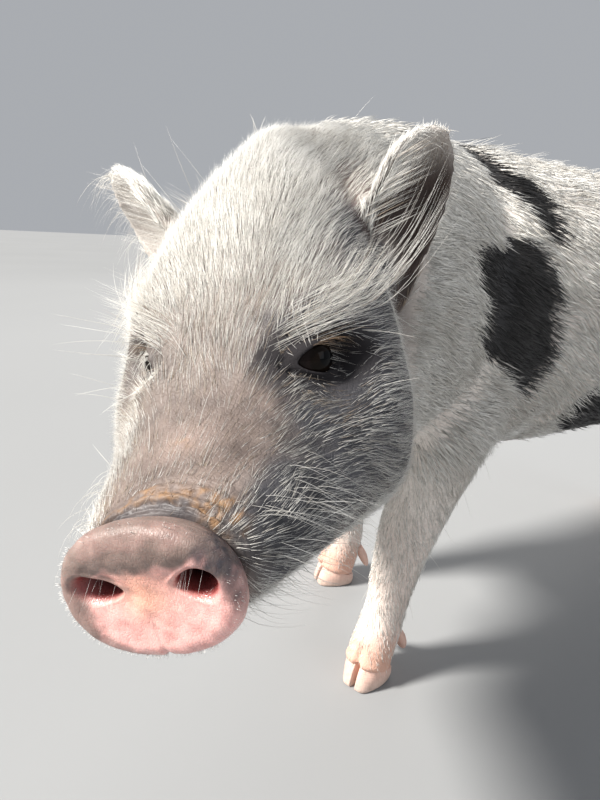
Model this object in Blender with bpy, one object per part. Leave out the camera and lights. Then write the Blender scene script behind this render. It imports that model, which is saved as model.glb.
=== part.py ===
"""A young miniature pig, life size, standing with its head turned to its left.

Metres, +Z up, the nose towards -Y and the pig's left side towards +X.
The trunk's middle plane is X = 0 while the animal is built, and the whole is
shifted at the end so that the origin is the bottom centre of its box.
"""

import math

import bmesh
import bpy
import numpy as np
from mathutils import Vector
from mathutils.bvhtree import BVHTree

GAP = 0.0003  # between two touching nodes
VOXEL = 0.0026  # fineness of the skin that the nodes are cut from
BODY_TRIANGLES = 4900
HEAD_TRIANGLES = 11900

# Head: its own frame runs back, left and up from the middle of the snout disc
SNOUT_AT = Vector((0.186, -0.332, 0.191))
HEAD_YAW = math.radians(48.6)  # turned to the pig's left
HEAD_PITCH = math.radians(7.3)  # nose down
HEAD_ROLL = math.radians(7.3)  # left side up
SNOUT_TURN = math.radians(11.0)  # the snout's own roll, left side up
SNOUT_RISE = 0.003
SNOUT_FADE = (0.008, 0.066)  # how far back they hold, and end
DISC_BACK = 0.0115
NOSTRIL_AT = (0.0155, 0.0035)
EYE_RADIUS = 0.0105
EYE_AT = (0.0905, 0.0275, 0.0413)
EYE_GAZE = (-0.42, 0.90, 0.12)


def head_axes():
    """The head's back, left and up directions."""
    forward = Vector((math.sin(HEAD_YAW), -math.cos(HEAD_YAW), 0))
    left = Vector((math.cos(HEAD_YAW), math.sin(HEAD_YAW), 0))
    up = Vector((0, 0, 1))
    nose = forward * math.cos(HEAD_PITCH) - up * math.sin(HEAD_PITCH)
    crown = up * math.cos(HEAD_PITCH) + forward * math.sin(HEAD_PITCH)
    tilted_left = left * math.cos(HEAD_ROLL) + crown * math.sin(HEAD_ROLL)
    tilted_up = crown * math.cos(HEAD_ROLL) - left * math.sin(HEAD_ROLL)
    return -nose, tilted_left, tilted_up


BACK, LEFT, UP = head_axes()
HEAD_TO_WORLD = np.array([BACK, LEFT, UP]).T


def snout_share(back):
    """How far the snout's own turn holds, 1 at the disc and 0 well behind it."""
    t = np.clip((back - SNOUT_FADE[0]) / (SNOUT_FADE[1] - SNOUT_FADE[0]), 0, 1)
    return 1 - t * t * (3 - 2 * t)


def from_head(points):
    """World places of points given in the head's frame, with the snout's own turn and rise."""
    back, left, up = np.moveaxis(np.asarray(points, float), -1, 0)
    share = snout_share(back)
    c, s = np.cos(SNOUT_TURN * share), np.sin(SNOUT_TURN * share)
    turned = np.stack([back, left * c - up * s, left * s + up * c + SNOUT_RISE * share], -1)
    return turned @ HEAD_TO_WORLD.T + np.array(SNOUT_AT)


def to_head(points):
    """Places in the head's frame of points given in the world, with the snout's turn undone."""
    back, left, up = np.moveaxis((np.asarray(points, float) - np.array(SNOUT_AT)) @ HEAD_TO_WORLD, -1, 0)
    share = snout_share(back)
    c, s = np.cos(SNOUT_TURN * share), np.sin(SNOUT_TURN * share)
    up = up - SNOUT_RISE * share
    return np.stack([back, left * c + up * s, up * c - left * s], -1)


def head_way(direction):
    """World direction of one given in the head's frame."""
    way = HEAD_TO_WORLD @ np.asarray(direction, float)
    return way / np.linalg.norm(way)


def clear_scene():
    for thing in list(bpy.data.objects):
        bpy.data.objects.remove(thing)


def finish(name, colour, roughness):
    """A plain skin or horn colour for one kind of node."""
    made = bpy.data.materials.get(name)
    if made is None:
        made = bpy.data.materials.new(name)
        made.use_nodes = True
        shader = made.node_tree.nodes["Principled BSDF"]
        shader.inputs["Base Color"].default_value = (*colour, 1)
        shader.inputs["Roughness"].default_value = roughness
        shader.inputs["Metallic"].default_value = 0
    return made


def add_object(name, mesh, material=None):
    made = bpy.data.objects.new(name, mesh)
    bpy.context.scene.collection.objects.link(made)
    if material is not None:
        mesh.materials.clear()
        mesh.materials.append(material)
    return made


def mesh_of(points, faces, name="shape"):
    """A mesh from points and faces, with its faces turned outwards."""
    made = bpy.data.meshes.new(name)
    made.from_pydata([tuple(p) for p in points], [], [tuple(f) for f in faces])
    work = bmesh.new()
    work.from_mesh(made)
    bmesh.ops.remove_doubles(work, verts=work.verts, dist=1e-7)
    bmesh.ops.recalc_face_normals(work, faces=work.faces)
    work.to_mesh(made)
    work.free()
    return made


def loft(rings):
    """Points and faces of a closed tube through rings of equal counts, with a fan over each end."""
    rings = [np.asarray(ring, float) for ring in rings]
    count = len(rings[0])
    points = [rings[0].mean(0), *np.concatenate(rings), rings[-1].mean(0)]
    faces = []
    for i in range(count):
        j = (i + 1) % count
        faces.append((0, 1 + j, 1 + i))
        for k in range(len(rings) - 1):
            low, high = 1 + k * count, 1 + (k + 1) * count
            faces.append((low + i, low + j, high + j, high + i))
        last = 1 + (len(rings) - 1) * count
        faces.append((last + i, last + j, len(points) - 1))
    return points, faces


def eased(table, steps):
    """Rows of a table of named sizes, filled in between by a smooth curve through them."""
    table = np.asarray(table, float)
    places = np.linspace(0, len(table) - 1, steps)
    padded = np.vstack([2 * table[0] - table[1], table, 2 * table[-1] - table[-2]])
    low = np.minimum(places.astype(int), len(table) - 2)
    t = (places - low)[:, None]
    a, b, c, d = (padded[low + k] for k in range(4))
    return 0.5 * (2 * b + (c - a) * t + (2 * a - 5 * b + 4 * c - d) * t**2 + (3 * b - a - 3 * c + d) * t**3)


def oval(half_width, top, bottom, top_power, bottom_power, count=40):
    """Across and height of a rounded section whose upper and lower halves have their own fullness."""
    turn = np.linspace(0, 2 * math.pi, count, endpoint=False)
    across, rise = np.cos(turn), np.sin(turn)
    power = np.where(rise >= 0, top_power, bottom_power)
    across = np.sign(across) * np.abs(across) ** (2 / power)
    rise = np.sign(rise) * np.abs(rise) ** (2 / power)
    return half_width * across, np.where(rise >= 0, top, bottom) * rise


# Head stations: back, half width, top, bottom, fullness of the top and of the bottom
HEAD_STATIONS = (
    (0.003, 0.0250, 0.0170, 0.0180, 2.2, 2.10),
    (0.013, 0.0275, 0.0185, 0.0215, 2.2, 2.00),
    (0.026, 0.0350, 0.0215, 0.0255, 2.2, 1.95),
    (0.042, 0.0430, 0.0275, 0.0300, 2.1, 1.90),
    (0.060, 0.0505, 0.0370, 0.0350, 2.1, 1.90),
    (0.080, 0.0590, 0.0540, 0.0410, 2.1, 1.95),
    (0.100, 0.0658, 0.0760, 0.0460, 2.45, 2.00),
    (0.120, 0.0666, 0.0985, 0.0500, 2.4, 2.00),
    (0.140, 0.0625, 0.1165, 0.0500, 2.25, 2.00),
    (0.162, 0.0590, 0.1285, 0.0470, 2.0, 2.00),
    (0.185, 0.0590, 0.1330, 0.0440, 2.0, 2.00),
    (0.205, 0.0560, 0.1290, 0.0400, 1.9, 2.00),
)


def head_shape():
    rings = []
    for back, half_width, top, bottom, top_power, bottom_power in eased(HEAD_STATIONS, 34):
        across, rise = oval(half_width, top, bottom, top_power, bottom_power)
        rings.append(from_head(np.column_stack([np.full(len(across), back), across, rise])))
    return loft(rings)


def tilted_rings(table, steps, count=40):
    """A tube along a bent line: place, half width, rise above and fall below the line, fullness."""
    rows = eased(table, steps)
    ways = np.gradient(rows[:, :3], axis=0)
    rings = []
    for row, way in zip(rows, ways):
        way = way / np.linalg.norm(way)
        side = np.cross((0, 0, 1) if abs(way[2]) < 0.9 else (0, 1, 0), way)
        side /= np.linalg.norm(side)
        across, rise = oval(row[3], row[4], row[5], row[6], row[6], count)
        rings.append(row[:3] + np.outer(across, side) + np.outer(rise, np.cross(way, side)))
    return loft(rings)


NECK_LINE = (
    (*from_head((0.140, 0, 0.020)), 0.054, 0.080, 0.052, 2.0),
    (*from_head((0.180, 0, 0.026)), 0.060, 0.102, 0.064, 2.0),
    (0.034, -0.170, 0.247, 0.070, 0.109, 0.082, 2.1),
    (0.010, -0.125, 0.250, 0.080, 0.107, 0.090, 2.2),
    (0.000, -0.085, 0.250, 0.080, 0.098, 0.092, 2.2),
)

# Trunk stations from the breast to the rump: along Y, half width, top, bottom, fullness
TRUNK_STATIONS = (
    (-0.186, 0.040, 0.262, 0.194, 2.2),
    (-0.172, 0.062, 0.300, 0.170, 2.2),
    (-0.145, 0.080, 0.336, 0.153, 2.25),
    (-0.100, 0.090, 0.354, 0.147, 2.25),
    (-0.040, 0.096, 0.355, 0.146, 2.2),
    (0.030, 0.102, 0.353, 0.150, 2.2),
    (0.100, 0.104, 0.354, 0.157, 2.2),
    (0.165, 0.101, 0.356, 0.166, 2.2),
    (0.220, 0.092, 0.348, 0.182, 2.2),
    (0.255, 0.077, 0.328, 0.202, 2.1),
    (0.278, 0.054, 0.302, 0.224, 2.0),
    (0.288, 0.026, 0.280, 0.245, 2.0),
)


def trunk_shape():
    rings = []
    for along, half_width, top, bottom, power in eased(TRUNK_STATIONS, 44):
        middle = 0.45 * top + 0.55 * bottom
        across, rise = oval(half_width, top - middle, middle - bottom, power, power)
        rings.append(np.column_stack([across, np.full(len(across), along), rise + middle]))
    return loft(rings)


# Leg stations from inside the trunk to the pastern: out, back, height, half width, half length
FRONT_LEG = (
    (-0.014, 0.004, 0.252, 0.014, 0.030),
    (-0.004, 0.004, 0.218, 0.024, 0.040),
    (0.000, 0.003, 0.184, 0.0275, 0.0390),
    (0.000, 0.002, 0.150, 0.0255, 0.0315),
    (0.000, -0.002, 0.118, 0.0215, 0.0240),
    (0.000, -0.003, 0.088, 0.0182, 0.0190),
    (0.000, -0.001, 0.062, 0.0155, 0.0162),
    (0.000, -0.001, 0.044, 0.0155, 0.0162),
    (0.000, -0.004, 0.030, 0.0165, 0.0175),
    (0.000, -0.009, 0.014, 0.0166, 0.0184),
    (0.000, -0.010, 0.006, 0.0150, 0.0166),
)
HIND_LEG = (
    (-0.024, 0.000, 0.290, 0.020, 0.038),
    (-0.008, 0.000, 0.252, 0.034, 0.056),
    (-0.003, 0.000, 0.214, 0.036, 0.058),
    (0.000, 0.003, 0.176, 0.031, 0.047),
    (0.000, 0.013, 0.140, 0.0235, 0.0320),
    (0.000, 0.025, 0.110, 0.0190, 0.0245),
    (0.000, 0.026, 0.086, 0.0175, 0.0200),
    (0.000, 0.018, 0.060, 0.0160, 0.0168),
    (0.000, 0.012, 0.043, 0.0155, 0.0162),
    (0.000, 0.007, 0.030, 0.0165, 0.0175),
    (0.000, -0.001, 0.014, 0.0166, 0.0184),
    (0.000, -0.002, 0.006, 0.0150, 0.0166),
)

# Each leg: side, stations, its top and its foot over the ground (out, along), and how far it turns out
LEGS = {
    "front_left": (1, FRONT_LEG, (0.062, -0.104), (0.0515, -0.1465), math.radians(22)),
    "front_right": (-1, FRONT_LEG, (0.062, -0.104), (0.0573, -0.1050), math.radians(6)),
    "hind_left": (1, HIND_LEG, (0.058, 0.218), (0.060, 0.228), math.radians(7)),
    "hind_right": (-1, HIND_LEG, (0.058, 0.218), (0.055, 0.274), math.radians(6)),
}
LEG_TOP = 0.235
FOOT_HEIGHT = 0.016


def leg_frame(name, height):
    """The leg's middle line at a height, and its forward and outward directions there."""
    side, _, top, foot, turn = LEGS[name]
    share = min(max((LEG_TOP - height) / (LEG_TOP - FOOT_HEIGHT), 0), 1)
    share = 0.5 * share + 0.5 * share * share * (3 - 2 * share)
    out = top[0] + (foot[0] - top[0]) * share
    along = top[1] + (foot[1] - top[1]) * share
    yaw = turn * share
    forward = np.array((side * math.sin(yaw), -math.cos(yaw), 0))
    outward = np.array((side * math.cos(yaw), math.sin(yaw), 0))
    return np.array((side * out, along, height)), forward, outward


def leg_shape(name):
    rings = []
    turn = np.linspace(0, 2 * math.pi, 28, endpoint=False)
    for out, back, height, half_width, half_length in eased(LEGS[name][1], 30):
        middle, forward, outward = leg_frame(name, height)
        middle = middle + outward * out - forward * back
        ring = np.outer(np.cos(turn) * half_width, outward) + np.outer(np.sin(turn) * half_length, forward)
        rings.append(middle + ring)
    return loft(rings)


# Tail line: place, half width, rise and fall, fullness
TAIL_LINE = (
    (0.000, 0.254, 0.298, 0.0120, 0.0120, 0.0120, 2.0),
    (0.000, 0.276, 0.303, 0.0105, 0.0105, 0.0105, 2.0),
    (0.001, 0.295, 0.297, 0.0085, 0.0080, 0.0080, 2.0),
    (0.003, 0.309, 0.276, 0.0066, 0.0064, 0.0064, 2.0),
    (0.006, 0.315, 0.247, 0.0052, 0.0050, 0.0050, 2.0),
    (0.008, 0.315, 0.218, 0.0040, 0.0038, 0.0038, 2.0),
    (0.008, 0.313, 0.191, 0.0026, 0.0024, 0.0024, 2.0),
)
TAIL_CUT = (0, 0.286, 0.301)


def joined(shapes, name="whole"):
    """One mesh that holds several closed shapes."""
    points, faces = [], []
    for shape_points, shape_faces in shapes:
        start = len(points)
        points += [tuple(p) for p in shape_points]
        faces += [tuple(start + i for i in face) for face in shape_faces]
    return mesh_of(points, faces, name)


def evaluated_copy(thing, name):
    """The thing's mesh with its modifiers applied, as a new mesh."""
    graph = bpy.context.evaluated_depsgraph_get()
    made = bpy.data.meshes.new_from_object(thing.evaluated_get(graph))
    made.name = name
    return made


def melted(mesh, voxel, rounds):
    """Overlapping closed shapes made one skin, with the creases between them eased."""
    thing = add_object("melting", mesh)
    remesh = thing.modifiers.new("one_skin", "REMESH")
    remesh.mode = "VOXEL"
    remesh.voxel_size = voxel
    ease = thing.modifiers.new("ease", "SMOOTH")
    ease.factor = 0.5
    ease.iterations = rounds
    made = evaluated_copy(thing, "skin")
    bpy.data.objects.remove(thing)
    return made


def coordinates(mesh, what="co"):
    flat = np.empty(len(mesh.vertices) * 3, np.float32)
    mesh.vertices.foreach_get(what, flat)
    return flat.reshape(-1, 3).astype(float)


def set_coordinates(mesh, points):
    mesh.vertices.foreach_set("co", np.asarray(points, np.float32).ravel())
    mesh.update()


# Swellings and hollows of the head: place, radii and height, in the head's frame
HEAD_FORMS = (
    ((0.082, 0.048, 0.042), (0.017, 0.016, 0.012), -0.0050),  # eye hollow
    ((0.092, 0.044, 0.062), (0.024, 0.018, 0.009), 0.0040),  # brow
    ((0.100, 0.064, 0.016), (0.026, 0.022, 0.014), 0.0022),  # cheekbone
    ((0.112, 0.062, -0.026), (0.028, 0.028, 0.020), 0.0018),  # jowl
    ((0.062, 0.044, 0.024), (0.022, 0.018, 0.013), -0.0025),  # hollow before the eye
    ((0.030, 0.034, -0.004), (0.014, 0.016, 0.012), 0.0024),  # upper lip
    ((0.030, 0.000, -0.028), (0.016, 0.022, 0.010), 0.0020),  # chin
    ((0.125, 0.000, 0.098), (0.026, 0.022, 0.024), 0.0020),  # forehead
)

# Swellings and hollows of one side of the trunk and legs: place, radii and height
TRUNK_FORMS = (
    ((0.085, -0.095, 0.240), (0.040, 0.045, 0.055), 0.0040),  # shoulder
    ((0.080, -0.115, 0.170), (0.020, 0.022, 0.022), 0.0022),  # upper arm
    ((0.085, -0.040, 0.172), (0.030, 0.018, 0.026), -0.0045),  # hollow behind the elbow
    ((0.045, -0.080, 0.345), (0.034, 0.030, 0.030), 0.0020),  # shoulder blade
    ((0.095, 0.150, 0.200), (0.045, 0.028, 0.048), -0.0040),  # fold of the flank
    ((0.072, 0.235, 0.232), (0.045, 0.040, 0.055), 0.0055),  # ham
    ((0.000, 0.285, 0.222), (0.014, 0.030, 0.040), -0.0060),  # cleft between the hams
    ((0.000, 0.050, 0.150), (0.060, 0.085, 0.030), 0.0050),  # belly
    ((0.000, 0.050, 0.355), (0.045, 0.060, 0.030), -0.0030),  # dip of the back
    ((0.000, 0.190, 0.355), (0.050, 0.045, 0.030), 0.0025),  # croup
)

# Folds across the top of the muzzle: back, width and height
MUZZLE_FOLDS = (
    (0.0175, 0.0036, 0.0016),
    (0.0235, 0.0024, -0.0012),
    (0.0285, 0.0030, 0.0006),
)

# Line of the closed mouth on one side: back and height in the head's frame
MOUTH_LINE = (
    (0.016, -0.0165),
    (0.030, -0.0172),
    (0.046, -0.0190),
    (0.062, -0.0185),
    (0.076, -0.0120),
)


def swollen(places, forms):
    """How far each place rises by the forms, which are the same on both sides."""
    lift = np.zeros(len(places))
    for place, radii, height in forms:
        lift += height * np.exp(-(((places - np.array(place)) / np.array(radii)) ** 2).sum(1))
    return lift


def sculpt_trunk(mesh):
    points, ways = coordinates(mesh), coordinates(mesh, "normal")
    lift = swollen(np.abs(points) * (1, 0, 0) + points * (0, 1, 1), TRUNK_FORMS)
    set_coordinates(mesh, points + ways * lift[:, None])


def sculpt_head(mesh):
    points, ways = coordinates(mesh), coordinates(mesh, "normal")
    local = to_head(points)
    local[:, 1] = np.abs(local[:, 1])
    lift = swollen(local, HEAD_FORMS)
    above = 1 / (1 + np.exp(-(local[:, 2] - 0.002) / 0.004))
    above *= np.exp(-((local[:, 1] / 0.032) ** 4))
    arched = local[:, 0] + 4.5 * local[:, 1] ** 2
    for back, width, height in MUZZLE_FOLDS:
        lift += height * above * np.exp(-(((arched - back) / width) ** 2)) * (local[:, 0] < 0.08)
    crease = np.interp(local[:, 0], *np.array(MOUTH_LINE).T)
    inside = (local[:, 0] > 0.01) & (local[:, 0] < 0.078)
    lift += 0.0011 * inside * np.exp(-(((local[:, 2] - crease - 0.0045) / 0.0035) ** 2))
    lift += 0.0008 * inside * np.exp(-(((local[:, 2] - crease + 0.0045) / 0.0035) ** 2))
    set_coordinates(mesh, points + ways * lift[:, None])


def thinned(mesh, triangles, name):
    """The skin with fewer faces, most where it curves most."""
    mesh.calc_loop_triangles()
    thing = add_object("thinning", mesh.copy())
    fewer = thing.modifiers.new("fewer", "DECIMATE")
    fewer.ratio = triangles / len(mesh.loop_triangles)
    made = evaluated_copy(thing, name)
    bpy.data.objects.remove(thing)
    return made


def largest(mesh):
    """Only the largest closed surface of a mesh."""
    work = bmesh.new()
    work.from_mesh(mesh)
    unseen = set(work.verts)
    pieces = []
    while unseen:
        front = [unseen.pop()]
        piece = list(front)
        while front:
            here = front.pop()
            near = {edge.other_vert(here) for edge in here.link_edges} & unseen
            unseen -= near
            front += near
            piece += near
        pieces.append(piece)
    pieces.sort(key=len)
    for piece in pieces[:-1]:
        bmesh.ops.delete(work, geom=piece, context="VERTS")
    bmesh.ops.triangulate(work, faces=work.faces)
    work.to_mesh(mesh)
    work.free()
    return mesh


def carve(mesh, cutters, operation="DIFFERENCE", solver="EXACT"):
    """The mesh joined with, cut by or kept inside each cutter mesh in turn."""
    thing = add_object("carving", mesh)
    helpers = []
    for cutter in cutters:
        helper = add_object("helper", cutter)
        helpers.append(helper)
        step = thing.modifiers.new("carve", "BOOLEAN")
        step.operation = operation
        step.solver = solver
        step.object = helper
    made = evaluated_copy(thing, mesh.name)
    for helper in [*helpers, thing]:
        bpy.data.objects.remove(helper)
    return largest(made)


def grown(mesh, by=GAP):
    """The same closed surface, moved outwards."""
    made = mesh.copy()
    set_coordinates(made, coordinates(made) + coordinates(made, "normal") * by)
    return made


def slab(plane_at, way, halves, depth, start=0.0):
    """A box that starts at a plane and reaches a depth along the way."""
    way = np.asarray(way, float) / np.linalg.norm(way)
    side = np.cross(way, (0, 0, 1))
    side /= np.linalg.norm(side)
    rise = np.cross(way, side)
    corners = [
        np.asarray(plane_at, float) + way * (start + depth * z) + side * halves[0] * x + rise * halves[1] * y
        for x in (-1, 1)
        for y in (-1, 1)
        for z in (0, 1)
    ]
    return mesh_of(corners, BOX_FACES, "slab")


BOX_FACES = ((0, 1, 3, 2), (4, 6, 7, 5), (0, 4, 5, 1), (2, 3, 7, 6), (0, 2, 6, 4), (1, 5, 7, 3))


def leg_box(name, more=0.0):
    """A box round one leg whose lid slopes up and outwards, to part the leg from the trunk."""
    side = LEGS[name][0]
    inner, outer = 0.026 - more, 0.140
    along = (-0.192 - more, -0.062 + more) if name.startswith("front") else (0.155 - more, 0.350)
    lids = (0.146, 0.212) if name.startswith("front") else (0.152, 0.222)
    corners = [
        (side * x, y, z)
        for x, lid in ((inner, lids[0] + more), (outer, lids[1] + more))
        for y in along
        for z in (-0.05, lid)
    ]
    return mesh_of(corners, BOX_FACES, "leg_box")


def ball(centre, radii, axes=None, segments=24, rings=14):
    """An oval ball whose radii lie along the given axes."""
    work = bmesh.new()
    bmesh.ops.create_uvsphere(work, u_segments=segments, v_segments=rings, radius=1)
    made = bpy.data.meshes.new("ball")
    work.to_mesh(made)
    work.free()
    points = coordinates(made) * np.array(radii)
    if axes is not None:
        points = points @ np.array(axes, float)
    set_coordinates(made, points + np.array(centre))
    return made


def whole_skin():
    shapes = [head_shape(), tilted_rings(NECK_LINE, 20), trunk_shape(), tilted_rings(TAIL_LINE[:3], 8, 20)]
    shapes += [leg_shape(name) for name in LEGS]
    made = melted(joined(shapes), VOXEL, 18)
    sculpt_trunk(made)
    sculpt_head(made)
    return made


def mirrored_point(place, side):
    return np.array((place[0], side * place[1], place[2]))


def eye_axes(side):
    """Along the lids, up and outward directions of one eye, in the world."""
    outward = head_way(mirrored_point(EYE_GAZE, side))
    along = np.cross(np.array(UP), outward)
    along /= np.linalg.norm(along)
    return along, np.cross(outward, along), outward


def eye_centre(side):
    return from_head(mirrored_point(EYE_AT, side))


def lids(side):
    """The swelling of the lids round one eyeball."""
    return ball(eye_centre(side), (0.0135, 0.0118, 0.0126), eye_axes(side), 16, 10)


def eye_opening(side):
    """The almond between the lids, tapering inwards."""
    along, rise, outward = eye_axes(side)
    turn = np.linspace(0, 2 * math.pi, 16, endpoint=False)
    rings = []
    for depth, size in ((0.0075, 0.92), (0.0115, 1.0), (0.0170, 1.12)):
        across = 0.0096 * size * np.cos(turn)
        height = 0.0056 * size * np.sign(np.sin(turn)) * np.abs(np.sin(turn)) ** 1.25
        slant = 0.10 * across
        rings.append(
            eye_centre(side)
            + outward * depth
            + np.outer(across, along)
            + np.outer(height + slant - 0.0004, rise)
        )
    return mesh_of(*loft(rings), "opening")


def mouth_groove(tree, side):
    """A thin cutter that follows the line of the mouth over the skin."""
    rings = []
    turn = np.linspace(0, 2 * math.pi, 6, endpoint=False)
    for back, height in eased(MOUTH_LINE, 12):
        start = from_head((back, 0, height))
        hit, normal, _, _ = tree.ray_cast(Vector(start), Vector(head_way((0, side, -0.1))))
        narrow = 0.0011 if 0.02 < back < 0.07 else 0.0007
        ring = np.outer(np.cos(turn) * narrow, head_way((0, 0, 1)))
        ring += np.outer(np.sin(turn) * 0.0022, np.array(normal))
        rings.append(np.array(hit) + ring)
    return mesh_of(*loft(rings), "groove")


# Snout disc stations: back, half width, half height and drop of the middle
DISC_STATIONS = (
    (0.0115, 0.0254, 0.0176, -0.0010),
    (0.0085, 0.0271, 0.0191, -0.0008),
    (0.0050, 0.0285, 0.0203, -0.0004),
    (0.0018, 0.0283, 0.0203, 0.0),
    (-0.0006, 0.0268, 0.0190, 0.0),
    (-0.0016, 0.0238, 0.0162, 0.0),
    (-0.0012, 0.0175, 0.0115, 0.0),
    (-0.0008, 0.0090, 0.0060, 0.0),
)


def disc_outline(turn, half_width, half_height):
    """A broad oval, arched above and fuller below."""
    across, rise = np.cos(turn), np.sin(turn)
    across = np.sign(across) * np.abs(across) ** np.where(rise > 0, 0.96, 0.86)
    rise = np.where(rise > 0, 1.06 * np.abs(rise), -1.07 * np.abs(rise) ** 0.90)
    return across * half_width * (1 - 0.02 * rise), rise * half_height


def snout_disc():
    turn = np.linspace(0, 2 * math.pi, 32, endpoint=False)
    rings = []
    for back, half_width, half_height, drop in DISC_STATIONS:
        across, rise = disc_outline(turn, half_width, half_height)
        rings.append(from_head(np.column_stack([np.full(len(turn), back), across, rise + drop])))
    disc = mesh_of(*loft(rings), "snout_disc")
    nostrils = []
    turn = np.linspace(0, 2 * math.pi, 14, endpoint=False)
    for side in (-1, 1):
        rings = []
        for back, size, inward in ((-0.006, 1.15, 0.0), (0.0005, 1.0, 0.0), (0.0085, 0.62, 0.0035)):
            across = 0.0062 * size * np.cos(turn) * (1 + 0.18 * np.sin(turn))
            rise = 0.0046 * size * np.sin(turn) + 0.14 * across
            middle = NOSTRIL_AT[0] - inward
            rings.append(
                from_head(
                    np.column_stack(
                        [np.full(len(turn), back), side * (middle + across), NOSTRIL_AT[1] + rise]
                    )
                )
            )
        nostrils.append(mesh_of(*loft(rings), "nostril"))
    return carve(disc, nostrils)


# Left ear from root to tip: midrib in the head's frame, half width unrolled, curl and the way it opens
EAR_STATIONS = (
    (0.160, 0.029, 0.047, 0.0235, 100, 50),
    (0.165, 0.038, 0.062, 0.0268, 92, 50),
    (0.167, 0.047, 0.078, 0.0275, 80, 48),
    (0.166, 0.056, 0.093, 0.0258, 68, 46),
    (0.162, 0.064, 0.106, 0.0215, 58, 44),
    (0.158, 0.070, 0.115, 0.0155, 50, 42),
    (0.155, 0.073, 0.119, 0.0085, 42, 42),
)


def ear_frame(rows, ways, k):
    """Midrib, opening direction and sideways direction at one row, in the head's frame."""
    axis = ways[k] / np.linalg.norm(ways[k])
    turn = math.radians(rows[k, 5])
    opening = np.array((-math.cos(turn), math.sin(turn), 0.10))
    opening -= axis * (opening @ axis)
    opening /= np.linalg.norm(opening)
    return rows[k, :3], opening, np.cross(axis, opening)


def ear_point(rows, ways, k, share, lift):
    """A place on the ear: share runs over the cup from -1 to 1, lift is along the back of the ear."""
    middle, opening, side = ear_frame(rows, ways, k)
    curl = math.radians(rows[k, 4])
    radius = rows[k, 3] / curl
    turn = curl * share
    outward = math.cos(turn) * -opening + math.sin(turn) * side
    return middle + opening * radius + outward * (radius + lift)


def ear_rows(steps=12):
    rows = eased(EAR_STATIONS, steps)
    return rows, np.gradient(rows[:, :3], axis=0)


def ear_shape(side, steps=12, across=11):
    """A closed cup, thick at its root and thin at its rim."""
    rows, ways = ear_rows(steps)
    rings = []
    for k in range(steps):
        thick = 0.0050 - 0.0026 * k / (steps - 1)
        shares = np.linspace(-1, 1, across)
        edge = 1 - 0.45 * np.abs(shares) ** 3
        outer = [ear_point(rows, ways, k, share, thick * e / 2) for share, e in zip(shares, edge)]
        inner = [ear_point(rows, ways, k, share, -thick * e / 2) for share, e in zip(shares, edge)]
        ring = np.array(outer + inner[::-1])
        ring[:, 1] *= side
        rings.append(from_head(ring))
    count = 2 * across
    points = np.concatenate(rings)
    faces = []
    for k in range(steps - 1):
        low, high = k * count, (k + 1) * count
        faces += [
            (low + i, low + (i + 1) % count, high + (i + 1) % count, high + i) for i in range(count)
        ]
    for start in (0, (steps - 1) * count):
        faces += [
            (start + i, start + i + 1, start + count - 2 - i, start + count - 1 - i)
            for i in range(across - 1)
        ]
    return mesh_of(points, faces, "ear")


def claw(name, toe):
    """One main claw: flat sole on the ground, blunt tip, and straight towards its neighbour."""
    middle, forward, outward = leg_frame(name, FOOT_HEIGHT)
    stations = LEGS[name][1]
    back = stations[-2][1]
    middle = middle - forward * back
    middle[2] = 0
    way = outward * toe
    rings = []
    for height, long_front, long_back, wide in (
        (0.0, 0.0165, 0.0130, 0.0128),
        (0.002, 0.0180, 0.0140, 0.0138),
        (0.010, 0.0150, 0.0145, 0.0150),
        (0.024, 0.0060, 0.0130, 0.0140),
    ):
        outline = (
            (long_front, 0.0035),
            (long_front * 0.93, 0.0078),
            (long_front * 0.60, wide * 0.82),
            (0.0, wide),
            (-long_back * 0.75, wide * 0.90),
            (-long_back, 0.0065),
            (-long_back * 0.90, 0.0018),
            (0.0, 0.0012),
            (long_front * 0.90, 0.0014),
        )
        rings.append([middle + forward * a + way * b + np.array((0, 0, height)) for a, b in outline])
    return mesh_of(*loft(rings), "claw")


def coronet(name):
    """The plane above which the claws give way to the skin: a place and its upward direction."""
    middle, forward, _ = leg_frame(name, FOOT_HEIGHT)
    place = middle - forward * LEGS[name][1][-2][1]
    place[2] = 0.0125
    return place, np.array((0, 0, 0.94)) + forward * -0.34


def dewclaw(name, toe):
    """A small pointed horn behind the pastern."""
    middle, forward, outward = leg_frame(name, 0.030)
    middle = middle - forward * (LEGS[name][1][-3][1] + 0.0165)
    rings = []
    turn = np.linspace(0, 2 * math.pi, 8, endpoint=False)
    for drop, back, half_width, half_length in (
        (-0.004, -0.004, 0.0030, 0.0030),
        (0.003, -0.001, 0.0046, 0.0042),
        (0.010, 0.0018, 0.0040, 0.0034),
        (0.0155, 0.0040, 0.0012, 0.0012),
    ):
        centre = middle + outward * toe * (0.0088 + 0.10 * drop) - forward * back
        centre = centre - np.array((0, 0, drop))
        ring = np.outer(np.cos(turn) * half_width, outward) + np.outer(np.sin(turn) * half_length, forward)
        rings.append(centre + ring)
    return mesh_of(*loft(rings), "dewclaw")


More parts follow.
